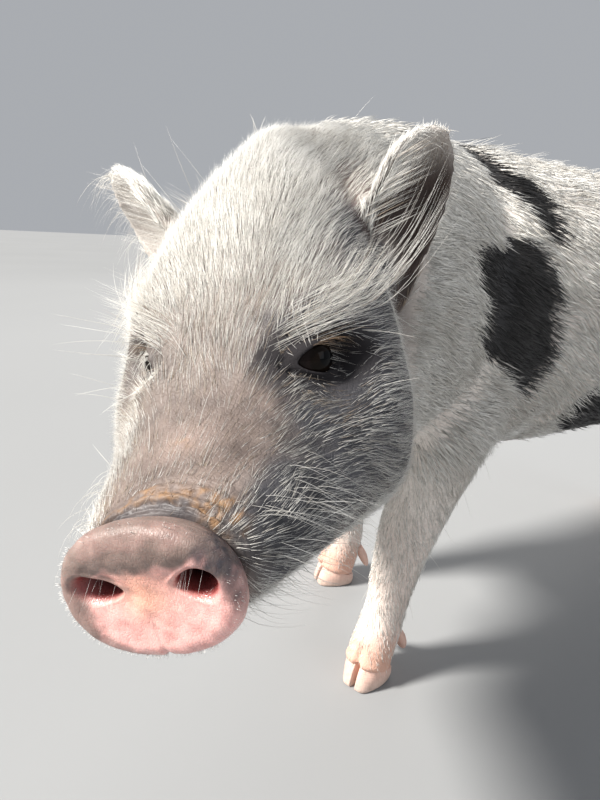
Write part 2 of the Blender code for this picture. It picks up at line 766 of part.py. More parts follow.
def lock(root, way, flat, length, width, droop):
    """Points and faces of a flat tapered lock of bristles that bends from its way towards its droop."""
    way, flat, droop = (np.asarray(v, float) for v in (way, flat, droop))
    way /= np.linalg.norm(way)
    points, faces = [], []
    for share, size in ((0.0, 0.75), (0.28, 1.0), (0.58, 0.78), (0.82, 0.42)):
        heading = way + droop * 2 * share
        heading /= np.linalg.norm(heading)
        side = np.cross(heading, flat)
        side /= np.linalg.norm(side)
        rise = np.cross(side, heading)
        middle = root + (way * share + droop * share**2) * length
        across, thick = side * width * size / 2, rise * max(width * 0.26, 0.0011) * size / 2
        points += [middle - across, middle + thick, middle + across, middle - thick]
    points.append(root + (way + droop) * length)
    for k in range(3):
        for i in range(4):
            j = (i + 1) % 4
            faces.append((4 * k + i, 4 * k + j, 4 * k + 4 + j, 4 * k + 4 + i))
    faces += [(12, 13, 16), (13, 14, 16), (14, 15, 16), (15, 12, 16), (3, 2, 1, 0)]
    return points, faces


def rooted(hit, lie, length, width, lift, droop):
    """A lock rooted at a place on the skin, given with its normal, and lying along the skin."""
    place, normal = np.array(hit[0]), np.array(hit[1])
    lie = np.asarray(lie, float)
    lie = lie - normal * (lie @ normal)
    lie /= np.linalg.norm(lie)
    root = place - normal * 0.0030 - lie * 0.002
    return lock(root, lie + normal * lift, normal, length, width, -normal * droop)


def crest_locks(tree, places, seed):
    """Bristles along the middle of the nape and back, each over the root of the next."""
    draw = np.random.default_rng(seed)
    shapes = []
    for k, (x, y, *lie) in enumerate(places):
        x += 0.0058 * (-1) ** k + draw.uniform(-0.001, 0.001)
        lie = np.array(lie) + draw.uniform(-0.10, 0.10, 3)
        length = draw.uniform(0.034, 0.042)
        hit = tree.ray_cast(Vector((x, y, 0.6)), Vector((0, 0, -1)))
        shapes.append(rooted(hit, lie, length, 0.0160, 0.20, 0.08))
    return shapes


# Rows of tufts on one side of the face: first and last root, first and last lie, length, width, lift, count
FACE_ROWS = (
    ((0.086, 0.046, 0.067), (0.114, 0.062, 0.056), (0.80, 0.20, 0.50), (0.95, 0.15, 0.20), 0.026, 0.0110, 0.08, 6),
    ((0.050, 0.042, -0.010), (0.122, 0.060, -0.020), (0.85, 0.1, -0.5), (0.95, 0.1, -0.3), 0.027, 0.0120, 0.14, 8),
)


def head_locks(tree):
    shapes = []
    for side in (1, -1):
        for first, last, lie_first, lie_last, length, width, lift, count in FACE_ROWS:
            for share in np.linspace(0, 1, count):
                place = np.array(first) * (1 - share) + np.array(last) * share
                lie = np.array(lie_first) * (1 - share) + np.array(lie_last) * share
                hit = tree.find_nearest(Vector(from_head(mirrored_point(place, side))))
                shapes.append(rooted(hit, head_way(mirrored_point(lie, side)), length, width, lift, 0.14))
    for back, left in ((0.116, 0.005), (0.127, -0.005), (0.138, 0.005), (0.149, -0.004), (0.159, 0.003)):
        hit = tree.ray_cast(Vector(from_head((back, left, 0.04))), UP)
        shapes.append(rooted(hit, head_way((1, left * 12, 0.4)), 0.027, 0.0140, 0.15, 0.10))
    return shapes


def neck_locks(tree):
    top = [from_head((back, 0, 0)) for back in (0.200, 0.213, 0.226, 0.239)]
    return crest_locks(tree, [(x, y, -0.5, 0.85, 0) for x, y, _ in top], 3)


def trunk_locks(tree):
    return crest_locks(tree, [(0, y, 0, 1, 0) for y in np.linspace(-0.104, 0.228, 18)], 5)


def tail_locks(tail_line):
    """The switch: long locks from the last third of the tail, spread round it."""
    shapes = []
    for k in range(9):
        x, y, z = tail_line[-1 - k // 3][:3]
        turn = math.radians(120 * k + 40 * (k // 3))
        flat = np.array((math.cos(turn), math.sin(turn), 0))
        way = np.array((0, 0, -1)) + 0.22 * flat
        root = np.array((x, y, z)) + 0.001 * flat
        shapes.append(lock(root, way, flat, 0.040 - 0.004 * (k // 3), 0.0070, flat * 0.05))
    return shapes


# Fringe of one ear: row, share across the cup, how far it points along and outward, length
EAR_LOCKS = (
    (1, -0.95, 0.80, 0.42, 0.024),
    (2, -0.95, 0.84, 0.40, 0.025),
    (3, -0.95, 0.86, 0.38, 0.025),
    (4, -0.94, 0.88, 0.36, 0.024),
    (5, -0.94, 0.90, 0.32, 0.023),
    (6, -0.93, 0.94, 0.28, 0.022),
    (7, -0.92, 0.97, 0.22, 0.020),
    (8, -0.90, 1.00, 0.14, 0.018),
    (9, -0.60, 1.00, 0.04, 0.013),
    (9, 0.10, 1.00, 0.00, 0.011),
    (9, 0.75, 1.00, 0.02, 0.012),
    (7, 0.92, 1.00, 0.05, 0.018),
    (5, 0.94, 1.00, 0.08, 0.020),
    (3, 0.95, 1.00, 0.10, 0.021),
)


def ear_locks(side):
    rows, ways = ear_rows()
    shapes = []
    for k, share, along, outward, length in EAR_LOCKS:
        _, opening, across = ear_frame(rows, ways, k)
        axis = ways[k] / np.linalg.norm(ways[k])
        curl = math.radians(rows[k, 4]) * share
        rim = math.cos(curl) * across * np.sign(share) + abs(math.sin(curl)) * opening
        back = math.cos(curl) * -opening + math.sin(curl) * across
        way = along * axis + outward * rim
        root = ear_point(rows, ways, k, share * 0.96, 0) - 0.12 * length * way
        turned = [head_way(mirrored_point(v, side)) for v in (way, back, back)]
        shapes.append(
            lock(from_head(mirrored_point(root, side)), turned[0], turned[1], length, 0.0095, turned[2] * 0.10)
        )
    return shapes


def with_locks(mesh, shapes):
    """A node's mesh with its locks joined on in one step."""
    thing = add_object("carving", mesh)
    group = bpy.data.collections.new("locks")
    bpy.context.scene.collection.children.link(group)
    for points, faces in shapes:
        helper = bpy.data.objects.new("lock", mesh_of(points, faces, "lock"))
        group.objects.link(helper)
    step = thing.modifiers.new("locks", "BOOLEAN")
    step.operation = "UNION"
    step.operand_type = "COLLECTION"
    step.solver = "MANIFOLD"
    step.collection = group
    made = evaluated_copy(thing, mesh.name)
    for helper in [*group.objects, thing]:
        bpy.data.objects.remove(helper)
    bpy.data.collections.remove(group)
    return largest(made)


HEAD_CUT = from_head((0.190, 0, 0.060))
HEAD_CUT_WAY = head_way((1, 0, -0.30))
NECK_CUT = (0.004, -0.130, 0.320)
NECK_CUT_WAY = (0.25, -0.86, 0.40)


def shade(thing):
    """Round surfaces smooth, with their cut edges kept sharp."""
    mesh = thing.data
    mesh.polygons.foreach_set("use_smooth", [True] * len(mesh.polygons))
    mesh.set_sharp_from_angle(angle=math.radians(48))


def build():
    clear_scene()
    coat = finish("white_coat", (0.78, 0.76, 0.72), 0.85)
    pink = finish("pink_skin", (0.80, 0.50, 0.46), 0.55)
    horn = finish("hoof_horn", (0.80, 0.56, 0.48), 0.5)
    wet = finish("dark_eye", (0.03, 0.02, 0.02), 0.1)
    skin = whole_skin()
    fine = thinned(skin, HEAD_TRIANGLES, "fine")
    body = thinned(skin, BODY_TRIANGLES, "body")
    nodes = {}

    # Head with its eyes and snout disc
    tree = BVHTree.FromPolygons(
        [v.co for v in fine.vertices], [tuple(p.vertices) for p in fine.polygons]
    )
    head = carve(fine.copy(), [slab(HEAD_CUT, HEAD_CUT_WAY, (0.5, 0.5), 1.0)])
    head = carve(head, [slab(from_head((DISC_BACK + GAP, 0, 0)), -np.array(BACK), (0.1, 0.1), 0.1)])
    head = carve(head, [lids(side) for side in (-1, 1)], "UNION")
    sockets = [ball(eye_centre(side), [EYE_RADIUS + GAP] * 3, eye_axes(side), 16, 10) for side in (-1, 1)]
    head = carve(head, sockets + [eye_opening(side) for side in (-1, 1)])
    head = carve(head, [mouth_groove(tree, side) for side in (-1, 1)], solver="MANIFOLD")
    nodes["head"] = (with_locks(head, head_locks(tree)), coat)
    nodes["snout_disc"] = (snout_disc(), pink)
    for side, word in ((1, "left"), (-1, "right")):
        nodes[f"eye_{word}"] = (ball(eye_centre(side), [EYE_RADIUS] * 3, eye_axes(side), 16, 10), wet)

    # Neck and trunk
    head_side = slab(HEAD_CUT, -HEAD_CUT_WAY, (0.5, 0.5), 0.4, -GAP)
    neck_side = slab(NECK_CUT, NECK_CUT_WAY, (0.5, 0.5), 1.0)
    trunk_side = slab(NECK_CUT, -np.array(NECK_CUT_WAY), (0.5, 0.5), 1.0, -GAP)
    coarse_tree = BVHTree.FromPolygons(
        [v.co for v in body.vertices], [tuple(p.vertices) for p in body.polygons]
    )
    neck = with_locks(body.copy(), neck_locks(coarse_tree))
    nodes["neck"] = (carve(neck, [head_side, trunk_side]), coat)
    tail_side = slab(TAIL_CUT, (0, 1, -0.20), (0.014, 0.014), 0.05)
    torso = carve(body.copy(), [neck_side, tail_side, *(leg_box(name, GAP) for name in LEGS)])
    nodes["torso"] = (with_locks(torso, trunk_locks(coarse_tree)), coat)

    # Ears stand on the head with a hair's gap
    for side, word in ((1, "left"), (-1, "right")):
        ear = with_locks(ear_shape(side), ear_locks(side))
        nodes[f"ear_{word}"] = (carve(ear, [grown(nodes["head"][0]), grown(nodes["neck"][0])]), coat)

    # Tail
    tail = mesh_of(*tilted_rings(TAIL_LINE[1:], 13, 10), "tail")
    tail = carve(tail, [slab(TAIL_CUT, (0, -1, 0.20), (0.05, 0.05), 0.05, -GAP)])
    nodes["tail"] = (with_locks(tail, tail_locks(eased(TAIL_LINE[1:], 13))), coat)

    # Legs with their claws
    for name in LEGS:
        claws = {}
        place, rise = coronet(name)
        below = slab(place, -rise, (0.06, 0.06), 0.06, -GAP)
        above = slab(place, rise, (0.06, 0.06), 0.06)
        for toe, word in ((-1, "inner"), (1, "outer")):
            claws[f"claw_{name}_{word}"] = carve(claw(name, toe), [above])
        dews = {f"dewclaw_{name}_{word}": dewclaw(name, toe) for toe, word in ((-1, "inner"), (1, "outer"))}
        leg = carve(body.copy(), [leg_box(name)], "INTERSECT")
        leg = carve(leg, [below, *(grown(dew) for dew in dews.values())])
        nodes[f"leg_{name}"] = (leg, coat)
        for word, mesh in {**claws, **dews}.items():
            nodes[word] = (mesh, horn)

    # Bring the bottom centre of the whole to the origin
    every = np.concatenate([coordinates(mesh) for mesh, _ in nodes.values()])
    middle = (every.min(0) + every.max(0)) / 2 * np.array((1, 1, 0))
    for name, (mesh, material) in nodes.items():
        set_coordinates(mesh, coordinates(mesh) - middle)
        shade(add_object(name, mesh, material))


build()
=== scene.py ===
"""A young miniature pig, life size: its skin, eyes, snout, claws and coat round the solid model.

Metres, +Z up. The animal is shaped about its own middle plane, X = 0, nose towards -Y
and left side towards +X, and each piece is set over the solid model as it is added.
"""

import math

import bmesh
import bpy
import numpy as np
from mathutils import Matrix, Vector
from mathutils.bvhtree import BVHTree


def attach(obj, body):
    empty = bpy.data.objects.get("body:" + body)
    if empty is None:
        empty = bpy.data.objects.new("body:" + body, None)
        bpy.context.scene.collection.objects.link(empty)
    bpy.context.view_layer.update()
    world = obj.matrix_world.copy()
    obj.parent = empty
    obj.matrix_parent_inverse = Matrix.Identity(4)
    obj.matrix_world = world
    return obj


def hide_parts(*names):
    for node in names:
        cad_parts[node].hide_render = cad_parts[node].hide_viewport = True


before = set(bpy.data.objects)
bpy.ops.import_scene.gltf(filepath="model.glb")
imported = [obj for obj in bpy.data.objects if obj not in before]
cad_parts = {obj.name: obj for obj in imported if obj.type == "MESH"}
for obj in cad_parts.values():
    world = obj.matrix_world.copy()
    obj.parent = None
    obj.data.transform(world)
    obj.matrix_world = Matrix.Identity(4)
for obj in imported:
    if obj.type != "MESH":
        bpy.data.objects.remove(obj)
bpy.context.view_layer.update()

# The studio: a camera low in front of the pig's left shoulder, held as for the photo,
# a plain pale floor, and soft lamps with the strongest one high on the nose's right.
ANIMAL_AT = np.array((-0.0502667, 0.0140907, 0.0))
CAMERA_AT = np.array((0.3273, -0.3620, 0.2900)) + ANIMAL_AT
CAMERA_TURN = math.radians(62.0)
CAMERA_DIP = math.radians(15.5)
CAMERA_ROLL = math.radians(2.7)
SENSOR_HEIGHT, FRAME_HEIGHT, FOCAL_LENGTH = 36, 800, 580
HEAD_MIDDLE = np.array((0.10, -0.24, 0.24)) + ANIMAL_AT
# Lamps: kind, then how far right of, in front of and above the head, breadth, power and tint
LAMPS = {
    "key_lamp": ("SUN", -2.15, 0.68, 2.00, 0.20, 8.5, (1.0, 0.965, 0.91)),
    "side_lamp": ("AREA", 1.60, 1.10, 0.90, 1.40, 9.0, (0.93, 0.96, 1.0)),
    "rear_lamp": ("AREA", 0.60, -2.40, 2.00, 1.40, 30.0, (1.0, 0.98, 0.95)),
}


def aimed(data, name, place, forward, level=0.0):
    """An object that looks along a direction, turned about it by an angle."""
    forward = Vector(forward).normalized()
    right = forward.cross(Vector((0, 0, 1))).normalized()
    rise = right.cross(forward)
    turned = right * math.cos(level) + rise * math.sin(level)
    thing = bpy.data.objects.new(name, data)
    bpy.context.scene.collection.objects.link(thing)
    thing.matrix_world = Matrix.Translation(Vector(place)) @ Matrix(
        (turned, turned.cross(forward), -forward)
    ).transposed().to_4x4()
    return thing


lens = bpy.data.cameras.new("camera")
lens.lens = SENSOR_HEIGHT * FOCAL_LENGTH / FRAME_HEIGHT
lens.clip_start = 0.01
level_look = np.array((-math.sin(CAMERA_TURN), math.cos(CAMERA_TURN), 0))
camera_look = level_look * math.cos(CAMERA_DIP) - np.array((0, 0, math.sin(CAMERA_DIP)))
bpy.context.scene.camera = aimed(lens, "camera", CAMERA_AT, camera_look, CAMERA_ROLL)

camera_right = np.array((math.cos(CAMERA_TURN), math.sin(CAMERA_TURN), 0))
for name, (kind, across, before, above, breadth, power, tint) in LAMPS.items():
    lamp = bpy.data.lights.new(name, kind)
    setattr(lamp, "angle" if kind == "SUN" else "size", breadth)
    lamp.energy = power
    lamp.color = tint
    from_head_to_lamp = camera_right * across - level_look * before + np.array((0, 0, above))
    aimed(lamp, name, HEAD_MIDDLE + from_head_to_lamp, -from_head_to_lamp)

bpy.context.scene.view_settings.view_transform = "Standard"
world = bpy.data.worlds.new("studio")
world.use_nodes = True
bpy.context.scene.world = world


def fed(node, **values):
    """A shader node with its own settings set, and its sockets set or linked by name."""
    for name, value in values.items():
        label = name.replace("__", " ")
        if hasattr(node, name):
            setattr(node, name, value)
        elif isinstance(value, bpy.types.NodeSocket):
            node.id_data.links.new(value, node.inputs[label])
        else:
            node.inputs[label].default_value = value
    return node


def placed(tree, kind, **values):
    return fed(tree.nodes.new(kind), **values)


def blended(tree, share, first, second, mode="MIX"):
    """The output of a colour mix: the first where the share is 0, the second where it is 1."""
    node = tree.nodes.new("ShaderNodeMix")
    node.data_type = "RGBA"
    node.blend_type = mode
    for place, value in ((0, share), (6, first), (7, second)):
        if isinstance(value, bpy.types.NodeSocket):
            tree.links.new(value, node.inputs[place])
        else:
            node.inputs[place].default_value = value if place == 0 else (*value, 1)
    return node.outputs[2]


def reckoned(tree, operation, first, second=0.5, third=None, clamp=False):
    """The output of a math node."""
    node = tree.nodes.new("ShaderNodeMath")
    node.operation = operation
    node.use_clamp = clamp
    for place, value in enumerate((first, second, third)):
        if isinstance(value, bpy.types.NodeSocket):
            tree.links.new(value, node.inputs[place])
        elif value is not None:
            node.inputs[place].default_value = value
    return node.outputs[0]


def object_places(tree):
    return placed(tree, "ShaderNodeTexCoord").outputs["Object"]


def noise(tree, places, scale, detail=2.0):
    """An uneven field over places, 0 to 1."""
    field = placed(tree, "ShaderNodeTexNoise", Vector=places, Scale=scale, Detail=detail)
    return field.outputs["Fac"]


def new_finish(name):
    """A new material with its node tree and its shader."""
    finish = bpy.data.materials.new(name)
    finish.use_nodes = True
    return finish, finish.node_tree, finish.node_tree.nodes["Principled BSDF"]


fed(world.node_tree.nodes["Background"], Color=(0.80, 0.83, 0.88, 1), Strength=0.50)
floor_mesh = bpy.data.meshes.new("floor")
floor_shape = bmesh.new()
bmesh.ops.create_circle(floor_shape, cap_ends=True, segments=96, radius=40.0)
floor_shape.to_mesh(floor_mesh)
floor_shape.free()
floor = bpy.data.objects.new("floor", floor_mesh)
bpy.context.scene.collection.objects.link(floor)
floor_paint, tree, shader = new_finish("floor_paint")
unevenness = noise(tree, object_places(tree), 0.8)
floor_colour = blended(tree, unevenness, (0.245, 0.25, 0.255), (0.285, 0.29, 0.295))
fed(shader, Base__Color=floor_colour, Roughness=0.75)
floor_mesh.materials.append(floor_paint)

# The skin: one living surface over head, neck, trunk, legs, tail and ears, with no seam.
# It is drawn round the same forms as the solid, then let in by the depth of the coat, and
# the muzzle, lids and mouth are worked finer with their folds.
SNOUT_AT = np.array((0.186, -0.332, 0.191))
HEAD_YAW = math.radians(48.6)
HEAD_PITCH = math.radians(7.3)
HEAD_ROLL = math.radians(7.3)
SNOUT_TURN = math.radians(11.0)
SNOUT_RISE = 0.003
SNOUT_FADE = (0.008, 0.066)
EYE_RADIUS = 0.0105
EYE_AT = (0.0905, 0.0275, 0.0413)
EYE_GAZE = (-0.42, 0.90, 0.12)


def unit(ways):
    """Directions of length one."""
    ways = np.asarray(ways, float)
    return ways / np.linalg.norm(ways, axis=-1, keepdims=True)


def step_up(value, low, high):
    """0 below low, 1 above high, and smooth between them."""
    t = np.clip((value - low) / (high - low), 0, 1)
    return t * t * (3 - 2 * t)


def hump(value, place, width, power=2):
    """1 at a place and less to both sides of it."""
    return np.exp(-(((value - place) / width) ** power))


def head_axes():
    """The head's back, left and up directions."""
    forward = np.array((math.sin(HEAD_YAW), -math.cos(HEAD_YAW), 0))
    left = np.array((math.cos(HEAD_YAW), math.sin(HEAD_YAW), 0))
    up = np.array((0, 0, 1))
    nose = forward * math.cos(HEAD_PITCH) - up * math.sin(HEAD_PITCH)
    crown = up * math.cos(HEAD_PITCH) + forward * math.sin(HEAD_PITCH)
    return (
        -nose,
        left * math.cos(HEAD_ROLL) + crown * math.sin(HEAD_ROLL),
        crown * math.cos(HEAD_ROLL) - left * math.sin(HEAD_ROLL),
    )


HEAD_TO_BODY = np.array(head_axes()).T


def from_head(points):
    """Places in the body's frame of points given in the head's, with the snout's own turn."""
    back, left, up = np.moveaxis(np.asarray(points, float), -1, 0)
    share = 1 - step_up(back, *SNOUT_FADE)
    c, s = np.cos(SNOUT_TURN * share), np.sin(SNOUT_TURN * share)
    turned = np.stack([back, left * c - up * s, left * s + up * c + SNOUT_RISE * share], -1)
    return turned @ HEAD_TO_BODY.T + SNOUT_AT


def to_head(points):
    """Places in the head's frame (back, left, up), with the snout's turn undone."""
    back, left, up = np.moveaxis((np.asarray(points, float) - SNOUT_AT) @ HEAD_TO_BODY, -1, 0)
    share = 1 - step_up(back, *SNOUT_FADE)
    c, s = np.cos(SNOUT_TURN * share), np.sin(SNOUT_TURN * share)
    up = up - SNOUT_RISE * share
    return np.stack([back, left * c + up * s, up * c - left * s], -1)


def head_way(direction):
    return unit(HEAD_TO_BODY @ np.asarray(direction, float))


def folded(places, axis):
    """Places with those below zero on an axis turned over onto its other side."""
    places = np.array(places)
    places[:, axis] = np.abs(places[:, axis])
    return places


def add_piece(name, mesh, material):
    """Adds a finished mesh over the solid model and lets it ride on the body."""
    mesh.transform(Matrix.Translation(Vector(ANIMAL_AT)))
    mesh.materials.clear()
    mesh.materials.append(material)
    thing = bpy.data.objects.new(name, mesh)
    bpy.context.scene.collection.objects.link(thing)
    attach(thing, "root")
    return thing


def mesh_of(points, faces, name="shape"):
    """A mesh whose faces all look outwards."""
    made = bpy.data.meshes.new(name)
    made.from_pydata([tuple(p) for p in points], [], [tuple(f) for f in faces])
    work = bmesh.new()
    work.from_mesh(made)
    bmesh.ops.recalc_face_normals(work, faces=work.faces)
    work.to_mesh(made)
    work.free()
    return made


def smoothed(mesh):
    mesh.polygons.foreach_set("use_smooth", [True] * len(mesh.polygons))
    return mesh


def loft(rings):
    """Points and faces of a closed tube through rings of equal counts, fanned shut at each end."""
    rings = [np.asarray(ring, float) for ring in rings]
    count = len(rings[0])
    points = [rings[0].mean(0), *np.concatenate(rings), rings[-1].mean(0)]
    faces = []
    last = 1 + (len(rings) - 1) * count
    for i in range(count):
        j = (i + 1) % count
        faces.append((0, 1 + j, 1 + i))
        for low in range(1, last, count):
            high = low + count
            faces.append((low + i, low + j, high + j, high + i))
        faces.append((last + i, last + j, len(points) - 1))
    return points, faces


def joined(shapes, name="whole"):
    points, faces = [], []
    for shape_points, shape_faces in shapes:
        start = len(points)
        points += [tuple(p) for p in shape_points]
        faces += [tuple(start + i for i in face) for face in shape_faces]
    return mesh_of(points, faces, name)


def curved(a, b, c, d, t):
    """Rows part of the way t from b to c, on a smooth curve that heeds a and d beyond them."""
    square = (2 * a - 5 * b + 4 * c - d) * t**2
    return 0.5 * (2 * b + (c - a) * t + square + (3 * b - a - 3 * c + d) * t**3)


def eased(table, steps):
    """Rows of a table of sizes, filled in between by a smooth curve through them."""
    table = np.asarray(table, float)
    places = np.linspace(0, len(table) - 1, steps)
    padded = np.vstack([2 * table[0] - table[1], table, 2 * table[-1] - table[-2]])
    low = np.minimum(places.astype(int), len(table) - 2)
    return curved(*(padded[low + k] for k in range(4)), (places - low)[:, None])


def oval(half_width, top, bottom, top_power, bottom_power, count=56):
    """Across and height of a rounded section whose two halves have their own fullness."""
    turn = np.linspace(0, 2 * math.pi, count, endpoint=False)
    across, rise = np.cos(turn), np.sin(turn)
    power = np.where(rise >= 0, top_power, bottom_power)
    across = np.sign(across) * np.abs(across) ** (2 / power)
    rise = np.sign(rise) * np.abs(rise) ** (2 / power)
    return half_width * across, np.where(rise >= 0, top, bottom) * rise


# Head: back, half width, top, bottom, fullness of the top and of the bottom
HEAD_STATIONS = (
    (0.003, 0.0250, 0.0170, 0.0180, 2.2, 2.10),
    (0.013, 0.0275, 0.0185, 0.0215, 2.2, 2.00),
    (0.026, 0.0350, 0.0215, 0.0255, 2.2, 1.95),
    (0.042, 0.0430, 0.0275, 0.0300, 2.1, 1.90),
    (0.060, 0.0505, 0.0370, 0.0350, 2.1, 1.90),
    (0.080, 0.0590, 0.0540, 0.0410, 2.1, 1.95),
    (0.100, 0.0658, 0.0760, 0.0460, 2.45, 2.00),
    (0.120, 0.0666, 0.0985, 0.0500, 2.4, 2.00),
    (0.140, 0.0625, 0.1165, 0.0500, 2.25, 2.00),
    (0.162, 0.0590, 0.1285, 0.0470, 2.0, 2.00),
    (0.185, 0.0590, 0.1330, 0.0440, 2.0, 2.00),
    (0.205, 0.0560, 0.1290, 0.0400, 1.9, 2.00),
)
NECK_LINE = (
    (*from_head((0.140, 0, 0.020)), 0.054, 0.080, 0.052, 2.0),
    (*from_head((0.180, 0, 0.026)), 0.060, 0.102, 0.064, 2.0),
    (0.034, -0.170, 0.247, 0.070, 0.109, 0.082, 2.1),
    (0.010, -0.125, 0.250, 0.080, 0.107, 0.090, 2.2),
    (0.000, -0.085, 0.250, 0.080, 0.098, 0.092, 2.2),
)
# Trunk: along Y, half width, top, bottom, fullness
TRUNK_STATIONS = (
    (-0.186, 0.040, 0.262, 0.194, 2.2),
    (-0.172, 0.062, 0.300, 0.170, 2.2),
    (-0.145, 0.080, 0.336, 0.153, 2.25),
    (-0.100, 0.090, 0.354, 0.147, 2.25),
    (-0.040, 0.096, 0.355, 0.146, 2.2),
    (0.030, 0.102, 0.353, 0.150, 2.2),
    (0.100, 0.104, 0.354, 0.157, 2.2),
    (0.165, 0.101, 0.356, 0.166, 2.2),
    (0.220, 0.092, 0.348, 0.182, 2.2),
    (0.255, 0.077, 0.328, 0.202, 2.1),
    (0.278, 0.054, 0.302, 0.224, 2.0),
    (0.288, 0.026, 0.280, 0.245, 2.0),
)
# Legs: out, back, height, half width, half length
FRONT_LEG = (
    (-0.014, 0.004, 0.252, 0.014, 0.030),
    (-0.004, 0.004, 0.218, 0.024, 0.040),
    (0.000, 0.003, 0.184, 0.0275, 0.0390),
    (0.000, 0.002, 0.150, 0.0255, 0.0315),
    (0.000, -0.002, 0.118, 0.0215, 0.0240),
    (0.000, -0.003, 0.088, 0.0182, 0.0190),
    (0.000, -0.001, 0.062, 0.0155, 0.0162),
    (0.000, -0.001, 0.044, 0.0155, 0.0162),
    (0.000, -0.004, 0.030, 0.0165, 0.0175),
    (0.000, -0.009, 0.014, 0.0166, 0.0184),
    (0.000, -0.010, 0.006, 0.0150, 0.0166),
)
HIND_LEG = (
    (-0.024, 0.000, 0.290, 0.020, 0.038),
    (-0.008, 0.000, 0.252, 0.034, 0.056),
    (-0.003, 0.000, 0.214, 0.036, 0.058),
    (0.000, 0.003, 0.176, 0.031, 0.047),
    (0.000, 0.013, 0.140, 0.0235, 0.0320),
    (0.000, 0.025, 0.110, 0.0190, 0.0245),
    (0.000, 0.026, 0.086, 0.0175, 0.0200),
    (0.000, 0.018, 0.060, 0.0160, 0.0168),
    (0.000, 0.012, 0.043, 0.0155, 0.0162),
    (0.000, 0.007, 0.030, 0.0165, 0.0175),
    (0.000, -0.001, 0.014, 0.0166, 0.0184),
    (0.000, -0.002, 0.006, 0.0150, 0.0166),
)
LEGS = {
    "front_left": (1, FRONT_LEG, (0.062, -0.104), (0.0515, -0.1465), math.radians(22)),
    "front_right": (-1, FRONT_LEG, (0.062, -0.104), (0.0573, -0.1050), math.radians(6)),
    "hind_left": (1, HIND_LEG, (0.058, 0.218), (0.060, 0.228), math.radians(7)),
    "hind_right": (-1, HIND_LEG, (0.058, 0.218), (0.055, 0.274), math.radians(6)),
}
LEG_TOP = 0.235
FOOT_HEIGHT = 0.016
# Tail: place, half width, rise and fall, fullness
TAIL_LINE = (
    (0.000, 0.254, 0.298, 0.0120, 0.0120, 0.0120, 2.0),
    (0.000, 0.276, 0.303, 0.0105, 0.0105, 0.0105, 2.0),
    (0.001, 0.295, 0.297, 0.0085, 0.0080, 0.0080, 2.0),
    (0.003, 0.309, 0.276, 0.0066, 0.0064, 0.0064, 2.0),
    (0.006, 0.315, 0.247, 0.0052, 0.0050, 0.0050, 2.0),
    (0.008, 0.315, 0.218, 0.0040, 0.0038, 0.0038, 2.0),
    (0.008, 0.313, 0.191, 0.0030, 0.0028, 0.0028, 2.0),
)
# Left ear from root to tip: midrib in the head's frame, half width unrolled, curl, the way it opens
EAR_STATIONS = (
    (0.160, 0.029, 0.047, 0.0235, 100, 50),
    (0.165, 0.038, 0.062, 0.0268, 92, 50),
    (0.167, 0.047, 0.078, 0.0275, 80, 48),
    (0.166, 0.056, 0.093, 0.0258, 68, 46),
    (0.162, 0.064, 0.106, 0.0215, 58, 44),
    (0.158, 0.070, 0.115, 0.0155, 50, 42),
    (0.155, 0.073, 0.119, 0.0085, 42, 42),
)


def head_shape():
    rings = []
    for back, *section in eased(HEAD_STATIONS, 60):
        across, rise = oval(*section)
        rings.append(from_head(np.column_stack([np.full(len(across), back), across, rise])))
    return loft(rings)


def bent_tube(table, steps, count=48):
    """A tube along a bent line: place, half width, rise above and fall below it, fullness."""
    rows = eased(table, steps)
    rings = []
    for row, way in zip(rows, unit(np.gradient(rows[:, :3], axis=0))):
        side = unit(np.cross((0, 0, 1) if abs(way[2]) < 0.9 else (0, 1, 0), way))
        across, rise = oval(*row[3:], row[6], count)
        rings.append(row[:3] + np.outer(across, side) + np.outer(rise, np.cross(way, side)))
    return loft(rings)


def trunk_shape():
    rings = []
    for along, half_width, top, bottom, power in eased(TRUNK_STATIONS, 80):
        middle = 0.45 * top + 0.55 * bottom
        across, rise = oval(half_width, top - middle, middle - bottom, power, power, 72)
        rings.append(np.column_stack([across, np.full(len(across), along), rise + middle]))
    return loft(rings)


def leg_frame(name, height):
    """The leg's middle line at a height, and its forward and outward directions there."""
    side, _, top, foot, turn = LEGS[name]
    share = min(max((LEG_TOP - height) / (LEG_TOP - FOOT_HEIGHT), 0), 1)
    share = 0.5 * share + 0.5 * share * share * (3 - 2 * share)
    out = top[0] + (foot[0] - top[0]) * share
    along = top[1] + (foot[1] - top[1]) * share
    yaw = turn * share
    forward = np.array((side * math.sin(yaw), -math.cos(yaw), 0))
    outward = np.array((side * math.cos(yaw), math.sin(yaw), 0))
    return np.array((side * out, along, height)), forward, outward


def level_ring(middle, outward, half_width, forward, half_length, count):
    """A level oval of places about a middle."""
    turn = np.linspace(0, 2 * math.pi, count, endpoint=False)
    across = np.outer(np.cos(turn) * half_width, outward)
    return middle + (across + np.outer(np.sin(turn) * half_length, forward))


def leg_shape(name):
    rings = []
    for out, back, height, half_width, half_length in eased(LEGS[name][1], 50):
        middle, forward, outward = leg_frame(name, height)
        middle = middle + outward * out - forward * back
        rings.append(level_ring(middle, outward, half_width, forward, half_length, 36))
    return loft(rings)


def ear_rows(steps):
    rows = eased(EAR_STATIONS, steps)
    return rows, np.gradient(rows[:, :3], axis=0)


def ear_frame(rows, ways, k):
    """Midrib, opening direction and sideways direction at one row, in the head's frame."""
    axis = ways[k] / np.linalg.norm(ways[k])
    turn = math.radians(rows[k, 5])
    opening = np.array((-math.cos(turn), math.sin(turn), 0.10))
    opening = unit(opening - axis * (opening @ axis))
    return rows[k, :3], opening, np.cross(axis, opening)


